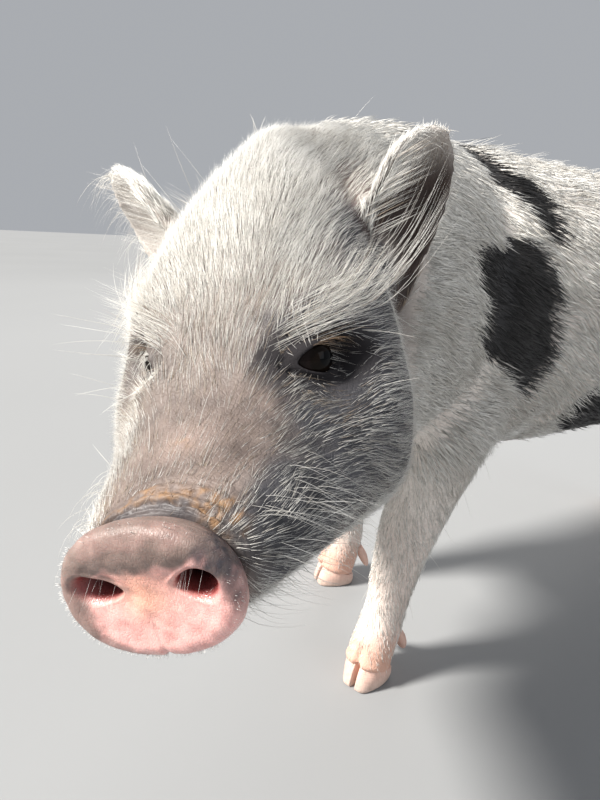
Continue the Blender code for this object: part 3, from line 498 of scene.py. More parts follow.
def ear_point(rows, ways, k, share, lift):
    """A place on the ear: share runs over the cup from -1 to 1, lift is out of its back."""
    middle, opening, side = ear_frame(rows, ways, k)
    curl = math.radians(rows[k, 4])
    radius = rows[k, 3] / curl
    turn = curl * share
    outward = math.cos(turn) * -opening + math.sin(turn) * side
    return middle + opening * radius + outward * (radius + lift)


EAR_ROOT_THICK = 0.0054
EAR_TIP_THINNER = 0.0020


def ear_shape(side, steps=44, across=45):
    """A closed cup, thick at its root and thinner at its rim."""
    rows, ways = ear_rows(steps)
    shares = np.linspace(-1, 1, across)
    edge = 1 - 0.25 * np.abs(shares) ** 3
    rings = []
    for k in range(steps):
        lifts = (EAR_ROOT_THICK - EAR_TIP_THINNER * k / (steps - 1)) * edge / 2
        outer, inner = (
            [ear_point(rows, ways, k, share, face * lift) for share, lift in zip(shares, lifts)]
            for face in (1, -1)
        )
        ring = np.array(outer + inner[::-1])
        ring[:, 1] *= side
        rings.append(from_head(ring))
    return loft(rings)


def melted(mesh, voxel, rounds):
    """Overlapping closed shapes made one skin, with the creases between them eased."""
    thing = bpy.data.objects.new("melting", mesh)
    bpy.context.scene.collection.objects.link(thing)
    remesh = thing.modifiers.new("one_skin", "REMESH")
    remesh.mode = "VOXEL"
    remesh.voxel_size = voxel
    ease = thing.modifiers.new("ease", "SMOOTH")
    ease.factor = 0.5
    ease.iterations = rounds
    graph = bpy.context.evaluated_depsgraph_get()
    made = bpy.data.meshes.new_from_object(thing.evaluated_get(graph))
    bpy.data.objects.remove(thing)
    return made


def coordinates(mesh, what="co"):
    flat = np.empty(len(mesh.vertices) * 3, np.float32)
    mesh.vertices.foreach_get(what, flat)
    return flat.reshape(-1, 3).astype(float)


def set_coordinates(mesh, points):
    mesh.vertices.foreach_set("co", np.asarray(points, np.float32).ravel())
    mesh.update()


def swollen(places, forms):
    """How far each place rises by the forms."""
    lift = np.zeros(len(places))
    for place, radii, height in forms:
        lift += height * np.exp(-(((places - np.array(place)) / np.array(radii)) ** 2).sum(1))
    return lift


def ripple(points, size, seed, waves=7):
    """A soft uneven field of about -1 to 1 whose bumps are about the size given."""
    draw = np.random.default_rng(seed)
    total = np.zeros(len(points))
    for _ in range(waves):
        way = draw.normal(size=3)
        way /= np.linalg.norm(way)
        pace = 2 * math.pi / (size * draw.uniform(0.7, 1.6))
        total += np.sin(points @ way * pace + draw.uniform(0, 6.3))
    return total / math.sqrt(waves)


# Swellings and hollows, each given by place, radii and height: the trunk's, then the head's
TRUNK_FORMS = (
    ((0.085, -0.095, 0.240), (0.040, 0.045, 0.055), 0.0040),
    ((0.080, -0.115, 0.170), (0.020, 0.022, 0.022), 0.0022),
    ((0.085, -0.040, 0.172), (0.030, 0.018, 0.026), -0.0045),
    ((0.045, -0.080, 0.345), (0.034, 0.030, 0.030), 0.0020),
    ((0.095, 0.150, 0.200), (0.045, 0.028, 0.048), -0.0040),
    ((0.072, 0.235, 0.232), (0.045, 0.040, 0.055), 0.0055),
    ((0.000, 0.285, 0.222), (0.014, 0.030, 0.040), -0.0060),
    ((0.000, 0.050, 0.150), (0.060, 0.085, 0.030), 0.0050),
    ((0.000, 0.050, 0.355), (0.045, 0.060, 0.030), -0.0030),
    ((0.000, 0.190, 0.355), (0.050, 0.045, 0.030), 0.0025),
)
HEAD_FORMS = (
    ((0.082, 0.048, 0.042), (0.017, 0.016, 0.012), -0.0050),
    ((0.092, 0.044, 0.062), (0.024, 0.018, 0.009), 0.0040),
    ((0.100, 0.064, 0.016), (0.026, 0.022, 0.014), 0.0022),
    ((0.112, 0.062, -0.026), (0.028, 0.028, 0.020), 0.0018),
    ((0.062, 0.044, 0.024), (0.022, 0.018, 0.013), -0.0025),
    ((0.030, 0.034, -0.004), (0.014, 0.016, 0.012), 0.0024),
    ((0.030, 0.000, -0.028), (0.016, 0.022, 0.010), 0.0020),
    ((0.125, 0.000, 0.098), (0.026, 0.022, 0.024), 0.0020),
)
RIGHT_FORMS = (
    ((0.172, -0.036, 0.118), (0.038, 0.026, 0.034), -0.0055),
    ((0.075, -0.034, 0.045), (0.012, 0.012, 0.013), 0.0085),
)
MOUTH_LINE = (
    (0.016, -0.0165),
    (0.030, -0.0172),
    (0.046, -0.0190),
    (0.062, -0.0185),
    (0.076, -0.0120),
)
CORE_GRAIN, CORE_ROUNDS = 0.0024, 22
SKIN_GRAIN, SKIN_ROUNDS = 0.0020, 3

# Trunk, head, legs and tail root are melted into one and swelled; ears and tail then join them
shapes = [head_shape(), bent_tube(NECK_LINE, 30), trunk_shape(), bent_tube(TAIL_LINE[:3], 12, 24)]
shapes += [leg_shape(name) for name in LEGS]
core = melted(joined(shapes), CORE_GRAIN, CORE_ROUNDS)
points, ways = coordinates(core), coordinates(core, "normal")
points += ways * swollen(folded(points, 0), TRUNK_FORMS)[:, None]
points += ways * swollen(folded(to_head(points), 1), HEAD_FORMS)[:, None]
points += ways * swollen(to_head(points), RIGHT_FORMS)[:, None]
set_coordinates(core, points)

core_faces = [tuple(face.vertices) for face in core.polygons]
both_ears = [ear_shape(1), ear_shape(-1)]
ears = joined(both_ears, "ears")
ear_tree = BVHTree.FromPolygons(
    [corner.co for corner in ears.vertices], [tuple(face.vertices) for face in ears.polygons]
)
whole = joined([(points, core_faces), *both_ears, bent_tube(TAIL_LINE[1:], 40, 16)])
skin_mesh = melted(whole, SKIN_GRAIN, SKIN_ROUNDS)
skin_mesh.name = "skin"


def eye_axes(side):
    """Along the lids, up and outward directions of one eye."""
    outward = head_way((EYE_GAZE[0], side * EYE_GAZE[1], EYE_GAZE[2]))
    along = unit(np.cross(HEAD_TO_BODY[:, 2], outward))
    return along, np.cross(outward, along), outward


def eye_centre(side):
    return from_head((EYE_AT[0], side * EYE_AT[1], EYE_AT[2]))


def eye_places(points, side):
    """Places about one eye: along the lids with the nose side negative, up, and outward."""
    axes = eye_axes(side)
    local = (points - eye_centre(side)) @ np.array(axes).T
    local[:, 0] *= -1 if (axes[0] @ HEAD_TO_BODY[:, 0]) < 0 else 1
    return local


def mouth_gap(local):
    """How far a place is above the line of the mouth."""
    return local[:, 2] - np.interp(local[:, 0], *np.array(MOUTH_LINE).T)


def worked_finer(mesh, chosen, cuts):
    """Splits the faces whose corners are all chosen."""
    work = bmesh.new()
    work.from_mesh(mesh)
    work.verts.ensure_lookup_table()
    faces = [face for face in work.faces if all(chosen[v.index] for v in face.verts)]
    edges = {edge for face in faces for edge in face.edges}
    bmesh.ops.subdivide_edges(work, edges=list(edges), cuts=cuts, use_grid_fill=True)
    bmesh.ops.triangulate(work, faces=[face for face in work.faces if len(face.verts) > 4])
    work.to_mesh(mesh)
    work.free()


def fine_zones(mesh):
    """Whether each corner lies by the muzzle's folds, the eyes or the mouth."""
    points = coordinates(mesh)
    local = to_head(points)
    near = (local[:, 0] < 0.040) & (local[:, 2] > -0.008)
    by_mouth = (local[:, 0] < 0.082) & (np.abs(mouth_gap(local)) < 0.006)
    near |= by_mouth & (np.abs(local[:, 1]) > 0.01)
    for side in (1, -1):
        near |= np.linalg.norm(points - eye_centre(side), axis=1) < 0.0215
    return near


for _ in range(2):
    worked_finer(skin_mesh, fine_zones(skin_mesh), 1)


def ear_share(points):
    """How far each place belongs to an ear, 0 to 1."""
    local = to_head(points)
    by_ears = (local[:, 0] > 0.12) & (local[:, 0] < 0.21)
    by_ears &= (local[:, 2] > 0.035) & (np.abs(local[:, 1]) > 0.012)
    reach = 0.012
    far = [ear_tree.find_nearest(Vector(p), reach)[3] or reach for p in points[by_ears]]
    share = np.zeros(len(points))
    share[by_ears] = 1 - step_up(np.array(far), 0.0018, 0.0060)
    return share


def on_tail(points):
    near = (points[:, 2] < 0.312) & (points[:, 2] > 0.17) & (np.abs(points[:, 0]) < 0.03)
    return step_up(points[:, 1], 0.289, 0.294) * near


# How deep the coat is over the skin
BODY_COAT = 0.0040
NAPE_THINNER = 0.0010
LEG_COAT = 0.0012
TAIL_COAT = 0.0008
EAR_COAT = 0.0002


def coat_depth(points, ear_part):
    """How far the skin lies inside the outer form."""
    local = to_head(points)
    deep = BODY_COAT - NAPE_THINNER * step_up(-local[:, 0], -0.21, -0.16)
    deep *= 0.18 + 0.82 * step_up(local[:, 0], 0.018, 0.075)
    deep = np.where(local[:, 0] < 0.3, deep, BODY_COAT)
    deep -= (deep - LEG_COAT) * (1 - step_up(points[:, 2], 0.10, 0.17))
    deep -= (deep - TAIL_COAT) * on_tail(points)
    return deep * (1 - ear_part) + EAR_COAT * ear_part


points, ways = coordinates(skin_mesh), coordinates(skin_mesh, "normal")
points -= ways * coat_depth(points, ear_share(points))[:, None]
local = to_head(points)
set_coordinates(skin_mesh, points)
ways = coordinates(skin_mesh, "normal")


def snout_bow(local):
    """How far back of the snout each place is, measured along the arch of its folds."""
    return local[:, 0] + np.where(local[:, 1] < 0, 30.0, 7.0) * local[:, 1] ** 2


# Folds behind the snout, by place, width and height: the deep arch, its ridge, and the
# smaller ones before and behind it
MUZZLE_FOLDS = (
    (0.0130, 0.0007, 0.0007),
    (0.0147, 0.0005, -0.0008),
    (0.0160, 0.0007, 0.0008),
    (0.0176, 0.0006, -0.0019),
    (0.0198, 0.0013, 0.0016),
    (0.0225, 0.0007, -0.0007),
    (0.0245, 0.0012, 0.0007),
    (0.0272, 0.0008, -0.0006),
    (0.0310, 0.0009, -0.0004),
    (0.0355, 0.0010, -0.0003),
)
WRINKLE_PACE, WRINKLE_HEIGHT = 0.0042, 0.00016
# Lips, by place above the mouth's line, width and height: the upper, the lower, and the slit
LIPS = ((0.0038, 0.0030, 0.0011), (-0.0038, 0.0030, 0.0009), (0.0, 0.0008, -0.0020))

arch = snout_bow(local)
arch += 0.0006 * ripple(points, 0.006, 11) + 0.0003 * ripple(points, 0.0025, 12)
on_top = step_up(local[:, 2], 0.000, 0.012) * hump(local[:, 1], 0, 0.030, 4)
folds = np.zeros(len(points))
for place, width, height in MUZZLE_FOLDS:
    folds += height * hump(arch, place, width)
folds *= on_top * (0.75 + 0.35 * ripple(points, 0.012, 13))
wrinkled_at = local[:, 0] - 0.35 * local[:, 2] + 0.0005 * ripple(points, 0.008, 14)
side_wrinkles = np.sin(wrinkled_at * 2 * math.pi / WRINKLE_PACE)
side_wrinkles *= (1 - step_up(local[:, 0], 0.020, 0.045)) * (1 - on_top)
folds += WRINKLE_HEIGHT * side_wrinkles
gap = mouth_gap(local)
in_mouth = step_up(local[:, 0], 0.010, 0.016) * (1 - step_up(local[:, 0], 0.070, 0.080))
in_mouth *= local[:, 2] < 0.01
folds += in_mouth * sum(height * hump(gap, place, width) for place, width, height in LIPS)
points += ways * folds[:, None]

# Lids drawn over the balls of the eyes, with a crease above and below
LID_HALF_WIDTH = 0.0092
LID_UP = 0.0052
LID_DOWN = 0.0048
LID_THICK = 0.0012
LID_SLANT = 0.10
# Ridges and creases of the lids: place by lid share, width, height above and below the eye
LID_FOLDS = (
    (1.24, 0.10, 0.0005, 0.0005),
    (1.55, 0.10, -0.0011, -0.0005),
    (1.85, 0.16, 0.0008, 0.0003),
    (2.20, 0.13, -0.0005, -0.0004),
)


def above_slit(local_eye):
    return local_eye[:, 1] + LID_SLANT * local_eye[:, 0]


def lid_share(local_eye):
    """1 on the edge of the opening, less inside and more outside."""
    across = np.abs(local_eye[:, 0]) / LID_HALF_WIDTH
    slanted = above_slit(local_eye)
    high = np.where(slanted > 0, LID_UP, LID_DOWN)
    return (across**1.8 + (np.abs(slanted) / high) ** 1.8) ** (1 / 1.8)


for side in (1, -1):
    near = np.linalg.norm(points - eye_centre(side), axis=1) < 0.030
    at_eye = eye_places(points[near], side)
    share = lid_share(at_eye)
    flat = at_eye[:, 0] ** 2 + at_eye[:, 1] ** 2
    ball = np.sqrt(np.maximum(EYE_RADIUS**2 - flat, 0))
    lid = np.sqrt(np.maximum((EYE_RADIUS + LID_THICK) ** 2 - flat, 0))
    skin_now = at_eye[:, 2]
    edge = np.clip(skin_now - LID_THICK, lid, lid + 0.0022)
    outer = edge + (skin_now - edge) * step_up(share, 1.25, 2.3)
    inner = np.minimum(ball - 0.0022, edge - 0.002)
    wanted = inner + (outer - inner) * step_up(share, 0.97, 1.12)
    for place, width, above, below in LID_FOLDS:
        wanted += np.where(above_slit(at_eye) > 0, above, below) * hump(share, place, width)
    front = step_up(skin_now, -0.002, 0.002) * (1 - step_up(share, 2.5, 3.2))
    points[near] += np.outer((wanted - skin_now) * front, eye_axes(side)[2])


def coronet(name):
    """The plane above which the claws give way to the skin: a place and its upward direction."""
    middle, forward, _ = leg_frame(name, FOOT_HEIGHT)
    place = middle - forward * LEGS[name][1][-2][1]
    place[2] = 0.0125
    return place, unit(np.array((0, 0, 0.94)) + forward * -0.34)


# Feet: the skin draws in under the claws, with a cleft between the toes
for name in LEGS:
    place, rise = coronet(name)
    _, forward, outward = leg_frame(name, FOOT_HEIGHT)
    near = (np.linalg.norm(points[:, :2] - place[:2], axis=1) < 0.034) & (points[:, 2] < 0.045)
    from_axis = points[near] - place
    height = from_axis @ rise
    across, along = from_axis @ outward, from_axis @ forward
    drawn = 1 - 0.30 * (1 - step_up(height, -0.0035, -0.0002))
    swell = 1 + 0.05 * hump(height, 0.0020, 0.0018)
    cleft = 0.0042 * hump(across, 0, 0.0022) * (1 - step_up(height, 0.006, 0.017))
    moved = place[:2] + np.outer(across * drawn * swell, outward[:2])
    moved += np.outer(along * drawn * swell - np.sign(along) * cleft, forward[:2])
    points[near, :2] = moved
    points[near, 2] = np.maximum(points[near, 2], 0.0045)

# Under the snout disc the skin ends in a soft shoulder
SHOULDER = 0.016
local = to_head(points)
front = local[:, 0] < SHOULDER
rounded = 0.0130 + 0.0030 * np.exp((local[:, 0] - SHOULDER) / 0.003)
local[:, 0] = np.where(front, rounded, local[:, 0])
points[front] = from_head(local[front])
set_coordinates(skin_mesh, points)
smoothed(skin_mesh)

# Black patches: each a few overlapping ovals with an uneven edge, given by place and radii
BLACK_PATCHES = (
    ((0.094, -0.100, 0.262), (0.045, 0.0300, 0.0350)),
    ((0.094, -0.088, 0.236), (0.045, 0.0185, 0.0250)),
    ((0.092, -0.122, 0.283), (0.040, 0.0165, 0.0135)),
    ((0.028, -0.108, 0.352), (0.014, 0.0110, 0.0120)),
    ((0.045, -0.104, 0.345), (0.014, 0.0110, 0.0120)),
    ((0.059, -0.098, 0.337), (0.014, 0.0110, 0.0120)),
    ((0.068, -0.084, 0.328), (0.014, 0.0110, 0.0120)),
    ((0.075, -0.075, 0.317), (0.014, 0.0095, 0.0120)),
    ((0.081, -0.070, 0.306), (0.014, 0.0080, 0.0100)),
    ((0.080, 0.002, 0.183), (0.040, 0.0260, 0.0260)),
    ((0.075, 0.035, 0.172), (0.050, 0.0300, 0.0220)),
    ((0.085, 0.205, 0.300), (0.050, 0.0380, 0.0340)),
    ((0.060, 0.232, 0.318), (0.040, 0.0250, 0.0250)),
    ((-0.095, 0.060, 0.275), (0.045, 0.0480, 0.0400)),
    ((-0.090, 0.100, 0.245), (0.045, 0.0300, 0.0300)),
    ((-0.070, -0.100, 0.300), (0.040, 0.0260, 0.0240)),
    ((-0.085, 0.235, 0.225), (0.040, 0.0220, 0.0300)),
)


def black_share(points):
    """How far each place lies in a black patch, 0 to 1."""
    far = np.full(len(points), 9.0)
    for place, radii in BLACK_PATCHES:
        outside = (((points - np.array(place)) / np.array(radii)) ** 2).sum(1)
        far = np.minimum(far, np.sqrt(outside))
    far += 0.07 * ripple(points, 0.016, 21) + 0.04 * ripple(points, 0.006, 22)
    return 1 - step_up(far, 0.94, 1.08)


# Grey skin: round the eye, down the cheek, on the muzzle's side and up the temple. It is partly
# painted shade of the face's shaded left side, and so much fainter on the right
GREY_AND_SHADE_RINGS = (
    ((0.084, 0.038, 0.044), (0.022, 0.024, 0.018), 2.2),
    ((0.088, 0.055, 0.012), (0.046, 0.030, 0.032), 1.1),
    ((0.040, 0.034, 0.000), (0.026, 0.020, 0.024), 1.0),
    ((0.120, 0.058, -0.022), (0.034, 0.030, 0.028), 0.7),
    ((0.150, 0.052, 0.060), (0.024, 0.020, 0.030), 0.5),
    ((0.132, 0.046, 0.067), (0.026, 0.020, 0.022), 1.2),
    ((0.104, 0.050, 0.040), (0.022, 0.018, 0.020), 1.2),
    ((0.074, 0.030, 0.042), (0.010, 0.012, 0.012), 0.9),
    ((0.142, 0.041, 0.084), (0.017, 0.013, 0.020), 0.8),
)
GREY_AND_SHADE_MUZZLE = (((0.026, 0.036, 0.004), (0.020, 0.014, 0.020), 1.0),)
RIGHT_GREY_AND_SHADE = 0.08


def grey_skin_and_shade_share(points):
    """How far each place lies in the grey skin of the face, partly painted shade, 0 to 1."""
    local = to_head(points)
    rings = swollen(folded(local, 1), GREY_AND_SHADE_RINGS)
    rings *= np.where(local[:, 1] > 0, 1.0, RIGHT_GREY_AND_SHADE)
    rings += 0.8 * swollen(local, GREY_AND_SHADE_MUZZLE)
    uneven = np.clip(rings + 0.16 * ripple(points, 0.014, 23), 0, 1)
    return uneven * step_up(0.20 - local[:, 0], 0, 0.03)


def brown_share(points):
    """How far each place lies in the tanned skin of the muzzle's bridge, 0 to 1."""
    local = to_head(points)
    shape = step_up(local[:, 2], 0.004, 0.018)
    shape *= 1 - step_up(np.abs(local[:, 1]), 0.016, 0.034)
    shape *= 1 - step_up(local[:, 0], 0.055, 0.100)
    return np.clip(shape + 0.15 * ripple(points, 0.012, 24) * (shape > 0.02), 0, 1)


def face_share(points):
    """How far each place is on the face, 0 to 1."""
    local = to_head(points)
    share = 1 - step_up(local[:, 0] - 0.3 * local[:, 2], 0.135, 0.190)
    return share * (np.abs(local[:, 1]) < 0.10)


def leather_share(points):
    """How far each place lies in the bare grey folds just behind the snout, 0 to 1."""
    local = to_head(points)
    shape = 1 - step_up(snout_bow(local), 0.0180, 0.0200)
    shape *= step_up(local[:, 1], -0.014, -0.008) * (1 - step_up(local[:, 1], 0.013, 0.019))
    return shape * step_up(local[:, 2], -0.002, 0.006)


SCURF_SPOTS = (
    ((0.0165, 0.0225, 0.0140), (0.0055, 0.0055, 0.0055), 1.2),
    ((0.0437, -0.0031, 0.0281), (0.0032, 0.0032, 0.0032), 0.9),
)


def scurf_share(points):
    """How far each place carries the dry orange scurf of the folds, 0 to 1."""
    local = to_head(points)
    shape = 1.1 * hump(snout_bow(local), 0.0214, 0.0032) * step_up(local[:, 2], 0.004, 0.012)
    shape += swollen(local, SCURF_SPOTS)
    return np.clip(shape * (0.45 + 0.9 * ripple(points, 0.005, 25)), 0, 1)


def ear_opening_side(points, ways):
    """1 where a place on an ear looks into its cup, and 0 on its back."""
    _, opening, _ = ear_frame(*ear_rows(3), 1)
    left = to_head(points)[:, 1] > 0
    facing = np.where(left, ways @ head_way(opening), ways @ head_way(opening * (1, -1, 1)))
    return step_up(facing, -0.05, 0.35)


NOSE_CORNER = (-0.0120, 0.0025)
CORNER_RADIUS = 0.0085
RIGHT_LID_AND_SHADE = 0.1


def dark_lid_and_shade_share(points):
    """How far each place lies in the black skin of the lids and the corner by the nose, partly
    painted shade under the brow.
    """
    rim = np.zeros(len(points))
    for side in (1, -1):
        at_eye = eye_places(points, side)
        dark_lid = 1 - step_up(lid_share(at_eye), 1.6, 3.6)
        from_corner = ((at_eye[:, :2] - NOSE_CORNER) / CORNER_RADIUS) ** 2
        dark_lid = np.maximum(dark_lid, np.exp(-(from_corner.sum(1) ** 2)))
        dark_lid *= (np.linalg.norm(at_eye, axis=1) < 0.03) * (at_eye[:, 2] > -0.008)
        rim = np.maximum(rim, dark_lid * (1.0 if side > 0 else RIGHT_LID_AND_SHADE))
    return rim


def keep_share(mesh, name, values):
    """Stores a share on each corner of a mesh for its material."""
    layer = mesh.attributes.new(name, "FLOAT", "POINT")
    layer.data.foreach_set("value", np.asarray(values, np.float32))


# Bare pink places: a scab on the bridge of the nose, and the roots of the ears
PINK_PLACES = (
    ((0.0437, -0.003, 0.028), (0.008, 0.010, 0.008), 0.45),
    ((0.159, 0.044, 0.095), (0.013, 0.013, 0.014), 1.1),
    ((0.159, -0.044, 0.095), (0.013, 0.013, 0.014), 1.1),
)
# The inside of each ear's cup is painted shade: full in the shaded left cup and less towards its
# top, faint in the lit right one
RIGHT_EAR_CUP_SHADE = 0.06

ways = coordinates(skin_mesh, "normal")
local = to_head(points)
height = points[:, 2]
ear_part = ear_share(points)
cup_shade_strength = np.where(local[:, 1] > 0, 1 - 0.7 * step_up(local[:, 2], 0.096, 0.120), RIGHT_EAR_CUP_SHADE)
toe = 0.72 * (1 - step_up(height, 0.022, 0.050)) + 0.28 * (1 - step_up(height, 0.050, 0.150))
for name, values in {
    "black": black_share(points),
    "grey": grey_skin_and_shade_share(points),
    "brown": brown_share(points),
    "scurf": scurf_share(points),
    "ear_cup_shade": ear_part * ear_opening_side(points, ways) * cup_shade_strength,
    "face": face_share(points) * (1 - ear_part),
    "leather": leather_share(points),
    "pink": np.clip(swollen(local, PINK_PLACES), 0, 1),
    "eye_rim": dark_lid_and_shade_share(points),
    "toe": toe,
}.items():
    keep_share(skin_mesh, name, values)


def share_of(tree, name):
    """The output of a share stored on the mesh."""
    return placed(tree, "ShaderNodeAttribute", attribute_name=name).outputs["Fac"]


def new_group(name, inputs, outputs):
    """A node group whose sockets all hold numbers, with its nodes for what goes in and out."""
    group = bpy.data.node_groups.new(name, "ShaderNodeTree")
    number = "NodeSocketFloat"
    for label, start in inputs.items():
        socket = group.interface.new_socket(name=label, in_out="INPUT", socket_type=number)
        socket.default_value = start
    for label in outputs:
        group.interface.new_socket(name=label, in_out="OUTPUT", socket_type=number)
    return group, group.nodes.new("NodeGroupInput"), group.nodes.new("NodeGroupOutput")


# Living skin: mottling under it, and pores and fine creases on it
skin_grain, grain_in, grain_out = new_group(
    "skin_grain", {"Mottle Size": 90.0, "Pore Size": 900.0}, ("Mottle", "Relief", "Specks")
)
where = object_places(skin_grain)
pore_size = grain_in.outputs["Pore Size"]
pores = placed(skin_grain, "ShaderNodeTexVoronoi", Vector=where, Scale=pore_size)
creases = placed(
    skin_grain,
    "ShaderNodeTexVoronoi",
    feature="DISTANCE_TO_EDGE",
    Vector=where,
    Scale=reckoned(skin_grain, "MULTIPLY", pore_size, 0.42),
)
crease_width = reckoned(skin_grain, "MINIMUM", creases.outputs["Distance"], 0.12)
crease_depth = reckoned(skin_grain, "MULTIPLY", crease_width, 5.0)
pore_depth = reckoned(skin_grain, "MULTIPLY", pores.outputs["Distance"], 0.5)
for label, field in {
    "Mottle": noise(skin_grain, where, grain_in.outputs["Mottle Size"], 4.0),
    "Relief": reckoned(skin_grain, "ADD", crease_depth, pore_depth),
    "Specks": noise(skin_grain, where, 420.0, 3.0),
}.items():
    skin_grain.links.new(field, grain_out.inputs[label])


def living(tree, mottle_size, pore_size):
    """The skin group in a material: its outputs, and its mottling drawn out to the full range."""
    grain = placed(
        tree,
        "ShaderNodeGroup",
        node_tree=skin_grain,
        Mottle__Size=mottle_size,
        Pore__Size=pore_size,
    )
    mottle = reckoned(tree, "MULTIPLY_ADD", grain.outputs["Mottle"], 2.4, -0.7, clamp=True)
    return grain.outputs, mottle


def bumped(tree, strength, distance, height):
    """The normal of a relief."""
    relief = placed(
        tree, "ShaderNodeBump", Strength=strength, Distance=distance, Height=height
    )
    return relief.outputs["Normal"]


def streaked(tree, places, scale, detail):
    """Noise drawn out into streaks by its own scale along each axis."""
    drawn_out = placed(tree, "ShaderNodeMapping", Vector=places, Scale=scale).outputs[0]
    return noise(tree, drawn_out, 1.0, detail)


pig_skin, tree, shader = new_finish("pig_skin")
grain, mottle = living(tree, 70.0, 1100.0)
on_face = share_of(tree, "face")
under_coat = blended(tree, mottle, (0.76, 0.69, 0.64), (0.86, 0.81, 0.76))
under_face = blended(tree, mottle, (0.11, 0.090, 0.080), (0.27, 0.230, 0.205))
colour = blended(tree, on_face, under_coat, under_face)
body_at = object_places(tree)
head_at = placed(
    tree, "ShaderNodeMapping", vector_type="TEXTURE", Vector=body_at, Rotation=(0, 0, HEAD_YAW)
).outputs[0]
body_streaks = streaked(tree, body_at, (1300, 110, 700), 3.0)
head_streaks = streaked(tree, head_at, (1500, 160, 160), 3.0)
streaks = blended(tree, on_face, body_streaks, head_streaks)
furrows = reckoned(tree, "MULTIPLY_ADD", streaks, 3.2, -1.1, clamp=True)
darker = blended(tree, 1.0, colour, (0.80, 0.78, 0.76), "MULTIPLY")
colour = blended(tree, furrows, darker, colour)
# Coloured places, each with its deep and its light tone
for share, deep, light in (
    # grey skin of the face, partly painted shade
    ("grey", (0.026, 0.026, 0.031), (0.078, 0.076, 0.084)),
    ("brown", (0.095, 0.073, 0.065), (0.21, 0.162, 0.142)),
    ("pink", None, (0.34, 0.25, 0.22)),
    ("leather", (0.058, 0.052, 0.055), (0.150, 0.132, 0.130)),
    # inside of the ears' cups, painted shade
    ("ear_cup_shade", (0.020, 0.014, 0.012), (0.068, 0.045, 0.038)),
    ("black", None, (0.022, 0.021, 0.022)),
    # black skin of the lids, partly painted shade under the brow
    ("eye_rim", None, (0.018, 0.016, 0.018)),
):
    tint = blended(tree, mottle, deep, light) if deep else light
    colour = blended(tree, share_of(tree, share), colour, tint)
scurf = blended(tree, grain["Specks"], (0.13, 0.068, 0.036), (0.34, 0.205, 0.110))
flaky = reckoned(tree, "MULTIPLY_ADD", grain["Specks"], 3.0, -0.75, clamp=True)
flakes = reckoned(tree, "MULTIPLY", share_of(tree, "scurf"), flaky)
colour = blended(tree, flakes, colour, scurf)
colour = blended(tree, share_of(tree, "toe"), colour, (0.64, 0.38, 0.29))
leather = share_of(tree, "leather")
dull = reckoned(tree, "MULTIPLY_ADD", leather, -0.06, 0.56)
fed(
    shader,
    Base__Color=colour,
    Roughness=reckoned(tree, "MULTIPLY_ADD", share_of(tree, "eye_rim"), 0.40, dull),
    Specular__IOR__Level=0.30,
    Normal=bumped(
        tree, reckoned(tree, "MULTIPLY_ADD", leather, -0.28, 0.42), 0.0005, grain["Relief"]
    ),
)

skin_mesh.calc_loop_triangles()
skin_corners = np.empty(len(skin_mesh.loop_triangles) * 3, np.int32)
skin_mesh.loop_triangles.foreach_get("vertices", skin_corners)
skin_corners = skin_corners.reshape(-1, 3)
skin_points, skin_ways, skin_ear = points, ways, ear_part
skin = add_piece("skin", skin_mesh, pig_skin)
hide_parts("head", "neck", "torso", "tail", "ear_left", "ear_right")
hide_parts(*("leg_" + name for name in LEGS))

# The snout disc: a pad of tough bare skin over gristle, grown on the end of the muzzle.
# It is wet and pink below, tanned above with a dark fleck, pitted by two nostrils, and
# edged with short white bristles.
DISC_STATIONS = (
    (0.0135, 0.0238, 0.0165, -0.0010),
    (0.0110, 0.0256, 0.0178, -0.0010),
    (0.0085, 0.0271, 0.0191, -0.0008),
    (0.0050, 0.0285, 0.0203, -0.0004),
    (0.0018, 0.0283, 0.0203, 0.0),
    (-0.0006, 0.0268, 0.0190, 0.0),
    (-0.0016, 0.0238, 0.0162, 0.0),
    (-0.0013, 0.0205, 0.0138, 0.0),
)
DISC_WRINKLE_PACE = 0.0030
# Each nostril: middle, half length, half height, its slot's rise towards the middle, depth
NOSTRILS = (
    (0.0175, 0.0017, 0.0071, 0.0054, 0.0002, 0.0110),
    (-0.0147, 0.0028, 0.0086, 0.0050, -0.0012, 0.0105),
)


def disc_outline(turn, half_width, half_height):
    """A broad oval, arched above and fuller below, with a notch at its lowest point."""
    across, rise = np.cos(turn), np.sin(turn)
    across = np.sign(across) * np.abs(across) ** np.where(rise > 0, 0.96, 0.86)
    rise = np.where(rise > 0, 1.06 * np.abs(rise), -1.07 * np.abs(rise) ** 0.90)
    notch = 1 - 0.045 * np.exp(-((across / 0.045) ** 2)) * (rise < 0)
    return across * half_width * (1 - 0.02 * rise), rise * half_height * notch


def nostril_share(across, rise, nostril):
    """0 in the middle of a nostril, 1 on its rim, more outside; its inner end is narrower."""
    at, height, half_length, half_height, slope, _ = nostril
    inward = (at - across) * math.copysign(1, at)
    slot = rise - height - slope * inward / half_length
    narrowing = 1 - 0.32 * np.clip(inward / half_length, -0.4, 1)
    return np.sqrt((inward / half_length) ** 2 + (slot / (half_height * narrowing)) ** 2)


